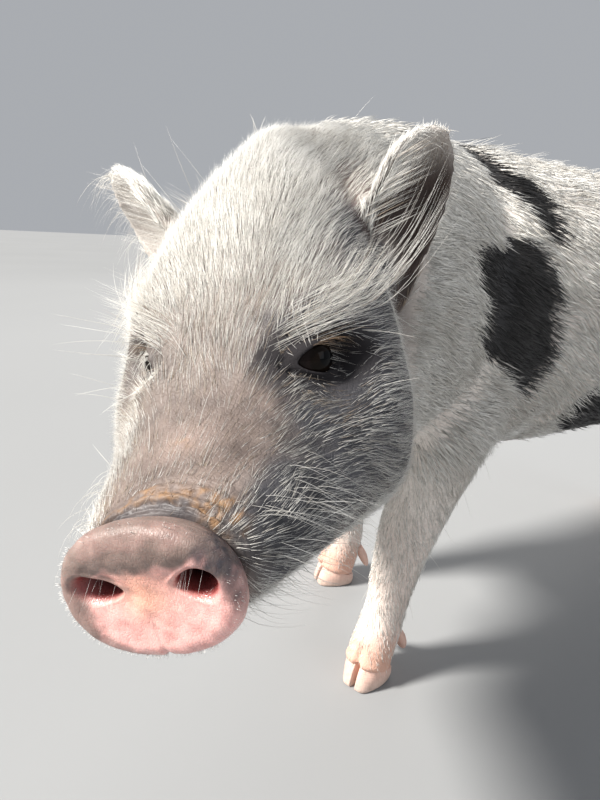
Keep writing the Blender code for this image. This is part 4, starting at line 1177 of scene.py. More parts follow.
turn = np.linspace(0, 2 * math.pi, 288, endpoint=False)
disc_rings = []
for back, half_width, half_height, drop in eased(DISC_STATIONS, 34):
    across, rise = disc_outline(turn, half_width, half_height)
    disc_rings.append(np.column_stack([np.full(len(turn), back), across, rise + drop]))
for size in np.linspace(1, 0.02, 62)[1:]:
    across, rise = disc_outline(turn, DISC_STATIONS[-1][1] * size, DISC_STATIONS[-1][2] * size)
    dished = DISC_STATIONS[-1][0] + 0.0008 * (1 - size**2)
    disc_rings.append(np.column_stack([np.full(len(turn), dished), across, rise]))
disc = np.concatenate(disc_rings)
across, rise = disc[:, 1].copy(), disc[:, 2].copy()
on_face = 1 - step_up(disc[:, 0], 0.0000, 0.0030)
pit = np.zeros(len(disc))
hollow = np.zeros(len(disc))
wing = np.zeros(len(disc))
for nostril in NOSTRILS:
    share = nostril_share(across, rise, nostril)
    deeper = nostril[5] * (1 - step_up(share, 0.30, 1.06))
    pit += deeper
    disc[:, 1] -= np.sign(nostril[0]) * 0.0028 * deeper / nostril[5]
    disc[:, 2] += 0.0012 * deeper / nostril[5]
    hollow += hump(share, 0, 1.75, 4)
    wing += hump(share, 1.20, 0.16) * step_up(rise - nostril[1], -0.0035, 0.0035)
septum = hump(across, 0, 0.0058) * hump(rise, 0.004, 0.0085)
brow = hump(rise - 0.0125 + 6 * across**2, 0, 0.0042) * hump(across, 0, 0.019, 4)
groove = hump(across, 0, 0.0009) * (1 - step_up(rise, -0.013, -0.004))
swell = 0.0009 * septum + 0.0010 * brow + 0.0004 * wing - 0.0010 * hollow - 0.0004 * groove
swell += 0.00012 * ripple(disc, 0.005, 31) * on_face
disc[:, 0] -= swell * on_face - pit * on_face
wrinkled_at = disc[:, 0] + 0.0004 * ripple(disc, 0.01, 32)
wrinkled = (1 - on_face) * np.sin(wrinkled_at * 2 * math.pi / DISC_WRINKLE_PACE)
disc[:, 1:] *= (1 + 0.006 * wrinkled)[:, None]
disc_points, disc_faces = loft(np.split(disc, len(disc_rings)))
disc_mesh = smoothed(mesh_of(from_head(np.array(disc_points)), disc_faces, "snout"))

flat_places = np.column_stack([disc[:, 0], across, rise])
flat_places = np.vstack([disc_points[:1], flat_places, disc_points[-1:]])
uneven = 0.0012 * ripple(flat_places, 0.010, 33) + 0.0006 * ripple(flat_places, 0.003, 34)
a, b = flat_places[:, 1], flat_places[:, 2] + uneven
# The tanned top is left a little lighter in a band just under the rim: a painted highlight
tans = [
    step_up(b, 0.0058, 0.0105) * (1 - 0.10 * hump(b, 0.0180, 0.0020)),
    step_up(-a + uneven, 0.0160, 0.0215) * step_up(b, -0.0190, -0.0110) * 0.9,
    step_up(-a - 1.3 * b, 0.0300, 0.0350) * 0.55,
    step_up(a, 0.0235, 0.0275) * 0.45,
    step_up(a + uneven, 0.0190, 0.0235) * step_up(b, 0.0000, 0.0060),
    step_up(flat_places[:, 0], 0.0020, 0.0050) * step_up(b, -0.004, 0.004),
]
for nostril, strength in zip(NOSTRILS, (0.30, 0.75)):
    round_nostril = 1 - step_up(nostril_share(a, b, nostril), 1.1, 1.7)
    tans.append(round_nostril * strength * step_up(b, -0.004, 0.006))
tanned = np.max(tans, axis=0)
in_fleck = ((a - 0.0243) / 0.0058) ** 2 + ((b - 0.0088) / 0.0046) ** 2
dark = np.exp(-(in_fleck**1.5))
below_fleck = ((a - 0.0265) / 0.0030) ** 2 + ((b - 0.0020) / 0.0080) ** 2
dark = np.maximum(dark, 0.7 * np.exp(-(below_fleck**2)))
pit = np.concatenate([[0], pit, [0]])
dark = np.clip(dark * (0.85 + 0.3 * ripple(flat_places, 0.004, 35)), 0, 1)
keep_share(disc_mesh, "tanned", np.clip(tanned, 0, 1))
keep_share(disc_mesh, "dark", dark)
keep_share(disc_mesh, "deep", np.clip(pit / 0.0085, 0, 1))
keep_share(disc_mesh, "peach", hump(a, 0, 0.0080) * hump(b, 0.001, 0.0085))
cracks = disc_mesh.attributes.new("cracks_at", "FLOAT_VECTOR", "POINT")
crack_places = np.column_stack([a * 3.2, b * 0.8, flat_places[:, 0] * 0.8])
cracks.data.foreach_set("vector", crack_places.astype(np.float32).ravel())

snout_skin, tree, shader = new_finish("snout_skin")
grain, mottle = living(tree, 260.0, 1500.0)
colour = blended(tree, mottle, (0.72, 0.36, 0.33), (0.86, 0.50, 0.46))
colour = blended(tree, share_of(tree, "peach"), colour, (0.88, 0.46, 0.34))
tan = blended(tree, mottle, (0.165, 0.116, 0.100), (0.255, 0.184, 0.160))
colour = blended(tree, share_of(tree, "tanned"), colour, tan)
colour = blended(tree, share_of(tree, "dark"), colour, (0.048, 0.040, 0.048))
flecks = reckoned(tree, "MULTIPLY_ADD", grain["Specks"], 7.0, -4.0, clamp=True)
colour = blended(tree, reckoned(tree, "MULTIPLY", flecks, 0.15), colour, (0.22, 0.11, 0.10))
# Inside the nostrils the red lining darkens to near black with depth: painted shade in the pits
inside = blended(tree, share_of(tree, "deep"), (0.34, 0.075, 0.070), (0.022, 0.005, 0.005))
pit_shade_share = reckoned(tree, "MULTIPLY", share_of(tree, "deep"), 4.0, clamp=True)
colour = blended(tree, pit_shade_share, colour, inside)
crack_at = placed(tree, "ShaderNodeAttribute", attribute_name="cracks_at").outputs["Vector"]
crack = placed(
    tree, "ShaderNodeTexVoronoi", feature="DISTANCE_TO_EDGE", Vector=crack_at, Scale=420.0
)
crack_width = reckoned(tree, "MINIMUM", crack.outputs["Distance"], 0.10)
crack_height = reckoned(tree, "MULTIPLY", crack_width, 8.0)
height = reckoned(tree, "ADD", crack_height, grain["Relief"])
line = reckoned(tree, "MULTIPLY_ADD", crack_height, -0.55, 0.30, clamp=True)
colour = blended(tree, line, colour, blended(tree, 1.0, colour, (0.58, 0.46, 0.44), "MULTIPLY"))
dull = reckoned(tree, "MULTIPLY_ADD", share_of(tree, "tanned"), 0.24, 0.18)
fed(
    shader,
    Base__Color=colour,
    Roughness=reckoned(tree, "MULTIPLY_ADD", grain["Specks"], 0.16, dull),
    Normal=bumped(tree, 0.24, 0.0004, height),
    Subsurface__Weight=0.12,
    Subsurface__Radius=(0.0025, 0.0009, 0.0006),
    Subsurface__Scale=1.0,
)
snout = add_piece("snout", disc_mesh, snout_skin)
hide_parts("snout_disc")

# The eyes: moist balls seated deep behind the lids, almost black, with a clear domed
# cornea over a very dark brown iris; each sits loose in its socket.
EYE_TURNS, EYE_ROWS = 72, 60
CORNEA_RISE = 0.0008
PUPIL_FLATNESS = 1.35


def eye_mesh(side):
    """A ball about the eye's outward way, its front swelled by the cornea."""
    along, rise, outward = eye_axes(side)
    rows = np.linspace(0.012, math.pi - 0.05, EYE_ROWS)
    turn = np.linspace(0, 2 * math.pi, EYE_TURNS, endpoint=False)
    rings = []
    for angle in rows:
        reach = EYE_RADIUS + CORNEA_RISE * (1 - step_up(angle, 0.20, 0.66))
        ring = reach * (
            math.cos(angle) * outward
            + math.sin(angle) * (np.outer(np.cos(turn), along) + np.outer(np.sin(turn), rise))
        )
        rings.append(eye_centre(side) + ring)
    made = smoothed(mesh_of(*loft(rings), "eye"))
    local = (coordinates(made) - eye_centre(side)) @ np.array((along, rise, outward)).T
    for name, flatness in (("from_middle", 1.0), ("from_slot", PUPIL_FLATNESS)):
        far = np.where(local[:, 2] > 0, np.hypot(local[:, 0], flatness * local[:, 1]), 0.02)
        keep_share(made, name, far / 0.01)
    keep_share(made, "round_turn", np.arctan2(local[:, 1], local[:, 0]))
    return made


eye_ball, tree, shader = new_finish("eye_ball")
round_turn, from_middle = share_of(tree, "round_turn"), share_of(tree, "from_middle")
spokes = placed(
    tree,
    "ShaderNodeCombineXYZ",
    X=reckoned(tree, "SINE", round_turn),
    Y=reckoned(tree, "COSINE", round_turn),
    Z=reckoned(tree, "MULTIPLY", from_middle, 0.12),
).outputs[0]
fibres = noise(tree, spokes, 14.0, 4.0)


def beyond(tree, far, low, high):
    """0 inside a ring of the eye and 1 outside it."""
    return placed(
        tree,
        "ShaderNodeMapRange",
        interpolation_type="SMOOTHSTEP",
        Value=far,
        From__Min=low,
        From__Max=high,
    ).outputs[0]


iris = blended(tree, fibres, (0.002, 0.0015, 0.0012), (0.009, 0.005, 0.003))
white = blended(tree, fibres, (0.005, 0.003, 0.003), (0.015, 0.009, 0.008))
past_pupil = beyond(tree, share_of(tree, "from_slot"), 0.33, 0.40)
colour = blended(tree, past_pupil, (0.0015, 0.0015, 0.002), iris)
film = noise(tree, object_places(tree), 900.0)
fed(
    shader,
    Base__Color=blended(tree, beyond(tree, from_middle, 0.60, 0.72), colour, white),
    Normal=bumped(tree, 0.03, 0.0002, film),
    Roughness=0.04,
    Specular__IOR__Level=0.10,
)

for side, name in ((1, "eye_left"), (-1, "eye_right")):
    eye = add_piece("wet_" + name, eye_mesh(side), eye_ball)
    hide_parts(name)

# The claws: two flat-soled horn shoes on each foot and two small dewclaws behind them,
# pale horn over pink, ringed by growth and scuffed, grown round the toes below the skin.


def smooth_round(outline, count=48):
    """A closed outline filled in by a smooth curve through its places."""
    outline = np.asarray(outline, float)
    places = np.linspace(0, len(outline), count, endpoint=False)
    low = places.astype(int)
    t = (places - low)[:, None]
    a, b, c, d = (outline[(low + k) % len(outline)] for k in (-1, 0, 1, 2))
    return curved(a, b, c, d, t)


# Claw: height, reach forward, reach back and width
CLAW_STATIONS = (
    (0.0, 0.0158, 0.0122, 0.0120),
    (0.0006, 0.0170, 0.0133, 0.0130),
    (0.0025, 0.0176, 0.0139, 0.0138),
    (0.0100, 0.0153, 0.0143, 0.0147),
    (0.0180, 0.0118, 0.0140, 0.0146),
)


def claw_rings(name, toe):
    """A shoe with a flat sole, blunt in front and straight towards its neighbour."""
    place, rise = coronet(name)
    _, forward, outward = leg_frame(name, FOOT_HEIGHT)
    rings = []
    for height, front, heel, wide in eased(CLAW_STATIONS, 26):
        outline = smooth_round(
            (
                (front, 0.0036),
                (front * 0.92, 0.0080),
                (front * 0.58, wide * 0.84),
                (0.0, wide),
                (-heel * 0.72, wide * 0.90),
                (-heel, 0.0066),
                (-heel * 0.90, 0.0019),
                (0.0, 0.0013),
                (front * 0.88, 0.0015),
            )
        )
        ring = place + np.outer(outline[:, 0], forward) + np.outer(outline[:, 1], outward * toe)
        top = place[2] - ((ring - place) @ forward) * (rise @ forward) / rise[2]
        ridge = 1 + 0.006 * math.sin(height * 2 * math.pi / CLAW_RING_PACE) * min(height / 0.003, 1)
        ring[:, :2] = place[:2] + (ring[:, :2] - place[:2]) * ridge
        ring[:, 2] = height / CLAW_STATIONS[-1][0] * (top + 0.0002)
        rings.append(ring)
    top_ring = rings[-1]
    middle = top_ring.mean(0)
    for size, lift in ((0.955, 0.0004), (0.88, 0.0003)):
        rim = middle + (top_ring - middle) * size
        rim[:, 2] += lift
        rings.append(rim)
    return rings


# Dewclaw: drop, reach back, half width and half length
DEWCLAW_STATIONS = (
    (-0.004, -0.004, 0.0030, 0.0030),
    (0.003, -0.001, 0.0046, 0.0042),
    (0.010, 0.0018, 0.0040, 0.0034),
    (0.0145, 0.0036, 0.0022, 0.0020),
    (0.0158, 0.0042, 0.0006, 0.0006),
)
CLAW_RING_PACE, DEWCLAW_RING_PACE, HORN_RING_PACE = 0.0021, 0.0018, 0.0011


def dewclaw_rings(name, toe):
    """A small blunt horn that hangs behind the pastern."""
    middle, forward, outward = leg_frame(name, 0.030)
    middle = middle - forward * (LEGS[name][1][-3][1] + 0.0165)
    rings = []
    for drop, back, half_width, half_length in eased(DEWCLAW_STATIONS, 18):
        half_width *= 1 + 0.02 * math.sin(drop * 2 * math.pi / DEWCLAW_RING_PACE)
        centre = middle + outward * toe * (0.0088 + 0.10 * drop) - forward * back
        centre = centre - np.array((0, 0, drop))
        rings.append(level_ring(centre, outward, half_width, forward, half_length, 24))
    return rings


claw_horn, tree, shader = new_finish("claw_horn")
object_at = object_places(tree)
height_at = placed(tree, "ShaderNodeSeparateXYZ", Vector=object_at).outputs["Z"]
streaks = streaked(tree, object_at, (900, 900, 120), 4.0)
horn = blended(tree, streaks, (0.56, 0.335, 0.27), (0.80, 0.56, 0.47))
worn = blended(tree, streaks, (0.42, 0.30, 0.25), (0.68, 0.53, 0.45))
by_sole = placed(
    tree, "ShaderNodeMapRange", Value=height_at, From__Min=0.011, From__Max=0.002
).outputs[0]
colour = blended(tree, by_sole, horn, worn)
grime = noise(tree, object_at, 260.0, 5.0)
dirt = reckoned(tree, "MULTIPLY_ADD", grime, 4.0, -2.1, clamp=True)
ring_turn = reckoned(tree, "MULTIPLY", height_at, 2 * math.pi / HORN_RING_PACE)
ring_relief = reckoned(tree, "MULTIPLY", reckoned(tree, "SINE", ring_turn), 0.35)
scuffs = reckoned(tree, "MULTIPLY_ADD", streaks, 1.2, ring_relief)
fed(
    shader,
    Base__Color=blended(
        tree, reckoned(tree, "MULTIPLY", dirt, 0.35), colour, (0.25, 0.185, 0.14)
    ),
    Normal=bumped(tree, 0.35, 0.0003, scuffs),
    Roughness=reckoned(tree, "MULTIPLY_ADD", grime, 0.3, 0.33),
)

for name in LEGS:
    for toe, which in ((1, "outer"), (-1, "inner")):
        for kind, rings in (("claw", claw_rings(name, toe)), ("dewclaw", dewclaw_rings(name, toe))):
            shoe = smoothed(mesh_of(*loft(rings), kind))
            horn_piece = add_piece(f"horn_{kind}_{name}_{which}", shoe, claw_horn)
            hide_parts(f"{kind}_{name}_{which}")

# The coat: soft white bristles rooted all over the skin, black on the dark patches. They are
# short and fine on the face and feet, longer on the poll, neck and back, and lie back along
# the body; each is a thin closed spike of its own, and many are joined in a piece.
coat_draw = np.random.default_rng(71)


def unrolled(points):
    """A place for each root on a flat pattern of the skin: head, trunk, legs, ears and tail."""
    local = to_head(points)
    over_jaw = local[:, 2] - 0.02 - 0.25 * local[:, 0]
    round_head = np.arctan2(local[:, 1], over_jaw) / (2 * math.pi) + 0.5
    along_head = 0.01 + 0.46 * np.clip(local[:, 0] / 0.24, 0, 1)
    flat = np.column_stack([along_head, 0.52 + 0.46 * round_head])
    round_body = np.arctan2(points[:, 0], points[:, 2] - 0.25) / (2 * math.pi) + 0.5
    trunk = (local[:, 0] > 0.215) | (points[:, 1] > -0.12)
    along = 0.01 + 0.60 * np.clip((points[:, 1] + 0.20) / 0.50, 0, 1)
    flat = np.where(trunk[:, None], np.column_stack([along, 0.01 + 0.47 * round_body]), flat)
    for k, name in enumerate(LEGS):
        middle = leg_frame(name, 0.09)[0]
        from_leg = points[:, :2] - middle[:2]
        mine = (points[:, 2] < 0.16) & (np.hypot(*from_leg.T) < 0.055) & (local[:, 0] > 0.20)
        turn = np.arctan2(from_leg[:, 0], from_leg[:, 1]) / (2 * math.pi) + 0.5
        up_leg = 0.64 + 0.33 * points[:, 2] / 0.16
        leg_flat = np.column_stack([up_leg, 0.01 + 0.12 * k + 0.10 * turn])
        flat = np.where(mine[:, None], leg_flat, flat)
    tail = on_tail(points) > 0.5
    round_tail = np.arctan2(points[:, 0], points[:, 1] - 0.31) / (2 * math.pi) + 0.5
    down_tail = 0.50 + 0.48 * np.clip((0.31 - points[:, 2]) / 0.13, 0, 1)
    tail_flat = np.column_stack([down_tail, 0.84 + 0.13 * round_tail])
    flat = np.where(tail[:, None], tail_flat, flat)
    return np.clip(flat, 0.004, 0.994)


def unrolled_ears(points, inside):
    """The same for roots on the ears, the backs beside the insides."""
    local = to_head(points)
    column = 0.50 + 0.25 * (local[:, 1] < 0) + 0.12 * (inside > 0.5)
    across = np.clip((local[:, 0] - 0.13) / 0.07, 0, 1)
    rise = np.clip((local[:, 2] - 0.03) / 0.10, 0, 1)
    return np.column_stack([column + 0.11 * across, 0.52 + 0.29 * rise])


def spikes(name, roots, normals, ways, bends, lengths, widths, flat, marks, steps=2):
    """Many closed three-sided spikes, each from a root along its way and then its bend."""
    count = len(roots)
    side = np.cross(ways, normals)
    side /= np.linalg.norm(side, axis=1)[:, None] + 1e-12
    rows = []
    along = []
    for k in range(steps):
        t = k / steps
        heading = ways + 2 * t * bends
        heading /= np.linalg.norm(heading, axis=1)[:, None]
        rise = np.cross(side, heading)
        middle = roots + (ways * t + bends * t * t) * lengths[:, None]
        radius = (widths / 2 * (1 - t) ** 0.6 * (0.8 if k == 0 else 1.0))[:, None]
        for turn in (90, 210, 330):
            c, s = math.cos(math.radians(turn)), math.sin(math.radians(turn))
            rows.append(middle + radius * (side * c + rise * s))
            along.append(t)
    rows.append(roots + (ways + bends) * lengths[:, None])
    along.append(1.0)
    corners = np.stack(rows, axis=1)
    each = len(rows)
    pattern = [(2, 1, 0)]
    for k in range(steps - 1):
        for i in range(3):
            a, b = 3 * k + i, 3 * k + (i + 1) % 3
            pattern += [(a, b, b + 3), (a, b + 3, a + 3)]
    low = 3 * (steps - 1)
    pattern += [(low + i, low + (i + 1) % 3, each - 1) for i in range(3)]
    pattern = np.array(pattern, np.int32)
    faces = (pattern[None] + (np.arange(count, dtype=np.int32) * each)[:, None, None]).reshape(-1)
    made = bpy.data.meshes.new(name)
    made.vertices.add(count * each)
    made.vertices.foreach_set("co", corners.astype(np.float32).ravel())
    made.loops.add(len(faces))
    made.loops.foreach_set("vertex_index", faces)
    made.polygons.add(len(faces) // 3)
    made.polygons.foreach_set("loop_start", np.arange(0, len(faces), 3, dtype=np.int32))
    made.polygons.foreach_set("use_smooth", np.ones(len(faces) // 3, bool))
    made.update(calc_edges=True)
    patch = np.array(
        [(0.0010 * math.cos(k % 3 * 2.1), 0.0022 * t - 0.0011) for k, t in enumerate(along)]
    )
    at_corner = (flat[:, None] + patch[None]).reshape(-1, 2)[faces]
    made.uv_layers.new(name="OFBake").data.foreach_set("uv", at_corner.astype(np.float32).ravel())
    for mark, values in marks.items():
        keep_share(made, mark, np.repeat(values, each))
    keep_share(made, "along", np.tile(along, count))
    return made


coat_hair, tree, shader = new_finish("coat_hair")
tone = share_of(tree, "tone")
colour = blended(tree, tone, (0.56, 0.52, 0.46), (0.97, 0.955, 0.915))
tawny = blended(tree, tone, (0.20, 0.125, 0.070), (0.42, 0.30, 0.19))
colour = blended(tree, share_of(tree, "tawny"), colour, tawny)
inky = blended(tree, tone, (0.007, 0.007, 0.008), (0.022, 0.020, 0.020))
colour = blended(tree, share_of(tree, "black"), colour, inky)
root_shade = placed(
    tree, "ShaderNodeMapRange", Value=share_of(tree, "along"), From__Max=0.55, To__Min=0.52
).outputs[0]
bands = noise(tree, object_places(tree), 1400.0)
fed(
    shader,
    Base__Color=blended(tree, 1.0, colour, root_shade, "MULTIPLY"),
    Roughness=reckoned(tree, "MULTIPLY_ADD", bands, 0.25, 0.32),
    Specular__IOR__Level=0.35,
    Sheen__Weight=0.15,
)


def add_coat(name, mesh):
    piece = add_piece(name, mesh, coat_hair)
    return piece


# Where each root is: about evenly over the skin, by how thick the coat is there
skin_middles = skin_points[skin_corners].mean(1)
edges = skin_points[skin_corners[:, 1]] - skin_points[skin_corners[:, 0]]
others = skin_points[skin_corners[:, 2]] - skin_points[skin_corners[:, 0]]
areas = np.linalg.norm(np.cross(edges, others), axis=1) / 2
tri_ear = skin_ear[skin_corners].mean(1)
tri_inside = ear_opening_side(skin_middles, skin_ways[skin_corners].mean(1))


def leg_share(points):
    """How far each place is on a leg, 0 to 1."""
    share = np.zeros(len(points))
    for name in LEGS:
        heights = np.array([0.02, 0.06, 0.10, 0.14, 0.18])
        line = np.array([leg_frame(name, h)[0] for h in heights])
        x = np.interp(points[:, 2], heights, line[:, 0])
        y = np.interp(points[:, 2], heights, line[:, 1])
        far = np.hypot(points[:, 0] - x, points[:, 1] - y)
        near = (1 - step_up(far, 0.036, 0.056)) * (1 - step_up(points[:, 2], 0.140, 0.195))
        share = np.maximum(share, near)
    return share


def ear_places(points):
    """Places on the ears: shares of the height and across to the front rim, and into the cup."""
    local = to_head(points)
    local[:, 1] = np.abs(local[:, 1])
    rows, along = ear_rows(25)
    _, opening, side = ear_frame(rows, along, 12)
    axis = rows[-1, :3] - rows[0, :3]
    height = np.clip((local - rows[0, :3]) @ axis / (axis @ axis), 0, 1)
    *middle, half_width = (
        np.interp(height, np.linspace(0, 1, 25), rows[:, k]) for k in range(4)
    )
    off_rib = local - np.column_stack(middle)
    return height, off_rib @ side / half_width, off_rib @ opening


# Bristles for each square millimetre
FACE_THICKNESS = 2.15
LEG_THICKNESS = 0.42
EAR_THICKNESS = 0.85
TAIL_THICKNESS = 0.5
# Where skin shows between them: the eye's corner by the nose, the ear's root, and the temple
EYE_CORNER_SKIN = (
    ((0.0780, 0.0225, 0.0405), (0.006, 0.006, 0.006), 1.3),
    ((0.0800, 0.0225, 0.0462), (0.007, 0.006, 0.005), 1.3),
)
EAR_ROOT_SKIN = (((0.157, 0.042, 0.093), (0.012, 0.011, 0.013), 1.3),)
TEMPLE_SKIN = (
    ((0.134, 0.048, 0.066), (0.026, 0.018, 0.022), 1.1),
    ((0.102, 0.048, 0.040), (0.020, 0.018, 0.018), 0.6),
    ((0.115, 0.046, 0.071), (0.020, 0.013, 0.017), 0.9),
    ((0.142, 0.041, 0.084), (0.017, 0.013, 0.020), 0.9),
)


def toward(value, target, share):
    return value + (target - value) * share


def strands(local):
    """How the face's hair gathers in strands that run back along it, -1 to 1."""
    return ripple(local * (0.22, 1, 1), 0.0024, 44)


def coat_thickness(points, ear, inside_ear):
    """Bristles for each square millimetre at each place."""
    local = to_head(points)
    face = face_share(points)
    leg = leg_share(points)
    seen = step_up(points[:, 0], -0.03, 0.05) * (1 - step_up(points[:, 1], 0.06, 0.20))
    thick = 0.12 + 0.20 * seen + 0.34 * (1 - step_up(points[:, 1], -0.14, -0.06))
    thick = toward(thick, FACE_THICKNESS, face)
    both = folded(local, 1)
    crown = step_up(local[:, 0], 0.085, 0.120) * step_up(local[:, 2], 0.050, 0.080)
    thick *= 1 + 0.45 * face * crown
    thick *= 1 - 0.93 * np.clip(swollen(both, EYE_CORNER_SKIN), 0, 1)
    thick *= 1 - 0.60 * face * step_up(strands(local), -0.1, 0.7)
    thick *= 1 - 0.85 * np.clip(swollen(both, EAR_ROOT_SKIN), 0, 1)
    right_share = np.where(local[:, 1] > 0, 1, 0.6)
    thick *= 1 - 0.78 * np.clip(swollen(both, TEMPLE_SKIN), 0, 1) * right_share
    thick = toward(thick, LEG_THICKNESS, leg)
    thick *= 1 - 0.45 * brown_share(points) * face
    thick *= 1 - 0.52 * grey_skin_and_shade_share(points) * face
    folds = (1 - step_up(snout_bow(local), 0.021, 0.030)) * step_up(local[:, 2], -0.004, 0.008)
    thick *= 1 - 0.96 * folds * (local[:, 1] > -0.026) * (local[:, 1] < 0.0170)
    thick = toward(thick, EAR_THICKNESS, ear)
    height, across, _ = ear_places(points)
    bare_cup = 1 - step_up(across + 3.0 * (height - 0.55), -0.1, 0.5)
    thick *= 1 - 0.98 * ear * inside_ear * bare_cup
    thick = np.where(on_tail(points) > 0.5, TAIL_THICKNESS, thick)
    thick *= step_up(points[:, 2], 0.014, 0.030)
    thick *= step_up(local[:, 0], 0.0125, 0.0145)
    return thick


weights = areas * 1e6 * coat_thickness(skin_middles, tri_ear, tri_inside)
MOST_TRIANGLES = 1290000
straight = (face_share(skin_middles) > 0.5) & (tri_ear < 0.5)
sides = np.where(straight, 4, 10)
weights *= min(1, MOST_TRIANGLES / (weights * sides).sum())
reach = np.cumsum(weights)
total = int(reach[-1])
picks = np.searchsorted(reach, (np.arange(total) + coat_draw.random(total)) / total * reach[-1])
picks = np.minimum(picks, len(weights) - 1)
u, v = coat_draw.random(total), coat_draw.random(total)
fold = u + v > 1
u[fold], v[fold] = 1 - u[fold], 1 - v[fold]
mix = np.column_stack([1 - u - v, u, v])[:, :, None]
roots = (skin_points[skin_corners[picks]] * mix).sum(1)
normals = (skin_ways[skin_corners[picks]] * mix).sum(1)
normals /= np.linalg.norm(normals, axis=1)[:, None]
root_ear = (skin_ear[skin_corners[picks]] * mix[:, :, 0]).sum(1)
short = straight[picks]

kept = np.ones(total, bool)
for side in (1, -1):
    at_eye = eye_places(roots, side)
    kept &= ~((lid_share(at_eye) < 1.22) & (np.linalg.norm(at_eye, axis=1) < 0.02))
local = to_head(roots)
kept &= ~((np.abs(mouth_gap(local)) < 0.0014) & (local[:, 0] < 0.076) & (local[:, 2] < 0.0))
for name in LEGS:
    place, rise = coronet(name)
    kept &= ~(((roots - place) @ rise < 0.001) & (np.hypot(*(roots - place)[:, :2].T) < 0.035))
roots, normals, root_ear, short = roots[kept], normals[kept], root_ear[kept], short[kept]
local = to_head(roots)


def ear_axis(side):
    return head_way((-0.06, side * 0.50, 0.86))


def lie_of(points, ear):
    """The way the coat lies at each place, before it is laid on the skin."""
    local = to_head(points)
    left = np.sign(local[:, 1])
    across = np.clip(np.abs(local[:, 1]) / 0.05, 0, 1)
    high = step_up(local[:, 2] - 0.55 * local[:, 0], -0.030, 0.020)
    head_lie = np.column_stack([np.ones(len(points)), left * 0.45 * across, -0.45 + 0.80 * high])
    lie = head_lie @ HEAD_TO_BODY.T
    on_flank = np.clip(np.abs(points[:, 0]) / 0.09, 0, 1)
    outward = 0.15 * np.sign(points[:, 0]) * on_flank
    body = np.column_stack([outward, np.ones(len(points)), -0.55 * on_flank])
    body[:, 2] -= 0.8 * step_up(points[:, 1], 0.20, 0.28)
    body_share = step_up(local[:, 0], 0.175, 0.230)[:, None]
    lie = lie * (1 - body_share) + body * body_share
    leg = leg_share(points)[:, None]
    lie = lie * (1 - leg) + np.array((0, 0.25, -1.0)) * leg
    lie = np.where((on_tail(points) > 0.5)[:, None], (0, 0.05, -1.0), lie)
    tip_way = np.where((local[:, 1] > 0)[:, None], ear_axis(1), ear_axis(-1))
    lie = lie * (1 - ear[:, None]) + tip_way * ear[:, None]
    for side in (1, -1):
        away = points - (eye_centre(side) + eye_axes(side)[2] * 0.009)
        far = np.linalg.norm(away, axis=1)
        away /= far[:, None]
        inward = np.minimum((lie * away).sum(1), 0)[:, None]
        near = (1 - step_up(far, 0.012, 0.021))[:, None]
        lie = lie + near * (away * 0.35 - 1.25 * inward * away)
    return lie


def clear_of_floor(roots, reach, lengths):
    """Lengths cut so that no tip goes below the floor."""
    drop = -reach[:, 2] * lengths
    room = np.maximum(roots[:, 2] - 0.0015, 0.0002)
    return np.where(drop > room, lengths * room / np.maximum(drop, 1e-6), lengths)


def laid(lie, normals):
    flat = lie - normals * (lie * normals).sum(1)[:, None]
    return flat / (np.linalg.norm(flat, axis=1)[:, None] + 1e-9)


# How long and how thick the bristles are
BODY_HAIR, LEG_HAIR, EAR_HAIR, EAR_RIM_LONGER = 0.0180, 0.0090, 0.0075, 0.0045
BODY_HAIR_WIDE, LEG_HAIR_WIDE, EAR_HAIR_WIDE = 0.00080, 0.00050, 0.00032

face, leg = face_share(roots), leg_share(roots)
black, brown = black_share(roots), brown_share(roots)
lie = laid(lie_of(roots, root_ear), normals)
sideways = np.cross(normals, lie)
swirl = 0.17 * ripple(roots, 0.030, 41) + 0.10 * ripple(roots, 0.007, 42)
swirl += coat_draw.normal(0, 0.12, len(roots))
lie = lie * np.cos(swirl)[:, None] + sideways * np.sin(swirl)[:, None]
poll = face * step_up(local[:, 0], 0.070, 0.115) * step_up(local[:, 2], 0.030, 0.065)
muzzle = 1 - step_up(local[:, 0], 0.030, 0.075)
inside_ear = ear_opening_side(roots, normals)
ear_height, ear_across, _ = ear_places(roots)
front_rim = root_ear * step_up(ear_across, 0.0, 0.6)
lengths = BODY_HAIR - 0.0060 * face + 0.0025 * poll
lengths -= 0.0025 * muzzle * face
lengths -= 0.0020 * brown * face
lengths = toward(lengths, LEG_HAIR, leg)
lengths = toward(lengths, EAR_HAIR + EAR_RIM_LONGER * front_rim, root_ear)
lengths *= 1 - 0.50 * root_ear * step_up(ear_height, 0.65, 0.95)
lengths *= 1 - 0.40 * (1 - step_up(roots[:, 2], 0.02, 0.06))
near_eye = np.zeros(len(roots))
for side in (1, -1):
    far = np.linalg.norm(roots - eye_centre(side) - eye_axes(side)[2] * 0.009, axis=1)
    near_eye = np.maximum(near_eye, 1 - step_up(far, 0.012, 0.022))
lengths *= 1 - 0.45 * near_eye
lengths *= coat_draw.uniform(0.65, 1.25, len(roots))
widths = BODY_HAIR_WIDE - 0.00055 * face
widths = toward(widths, LEG_HAIR_WIDE, leg)
widths = toward(widths, EAR_HAIR_WIDE, root_ear)
widths *= coat_draw.uniform(0.75, 1.2, len(roots)) * (1 - 0.05 * muzzle * face)
lift = 0.15 + 0.08 * face + 0.05 * poll + coat_draw.normal(0, 0.05, len(roots))
lift += (coat_draw.random(len(roots)) < 0.04) * 0.30
lift = np.clip(lift, 0.05, 0.9)
ways = lie + normals * lift[:, None]
ways /= np.linalg.norm(ways, axis=1)[:, None]
bends = -normals * (0.04 + 0.35 * lift[:, None]) + coat_draw.normal(0, 0.035, (len(roots), 3))
bends[:, 2] -= 0.03
uneven_tone = coat_draw.normal(0, 1, len(roots)) * (0.18 + 0.14 * face)
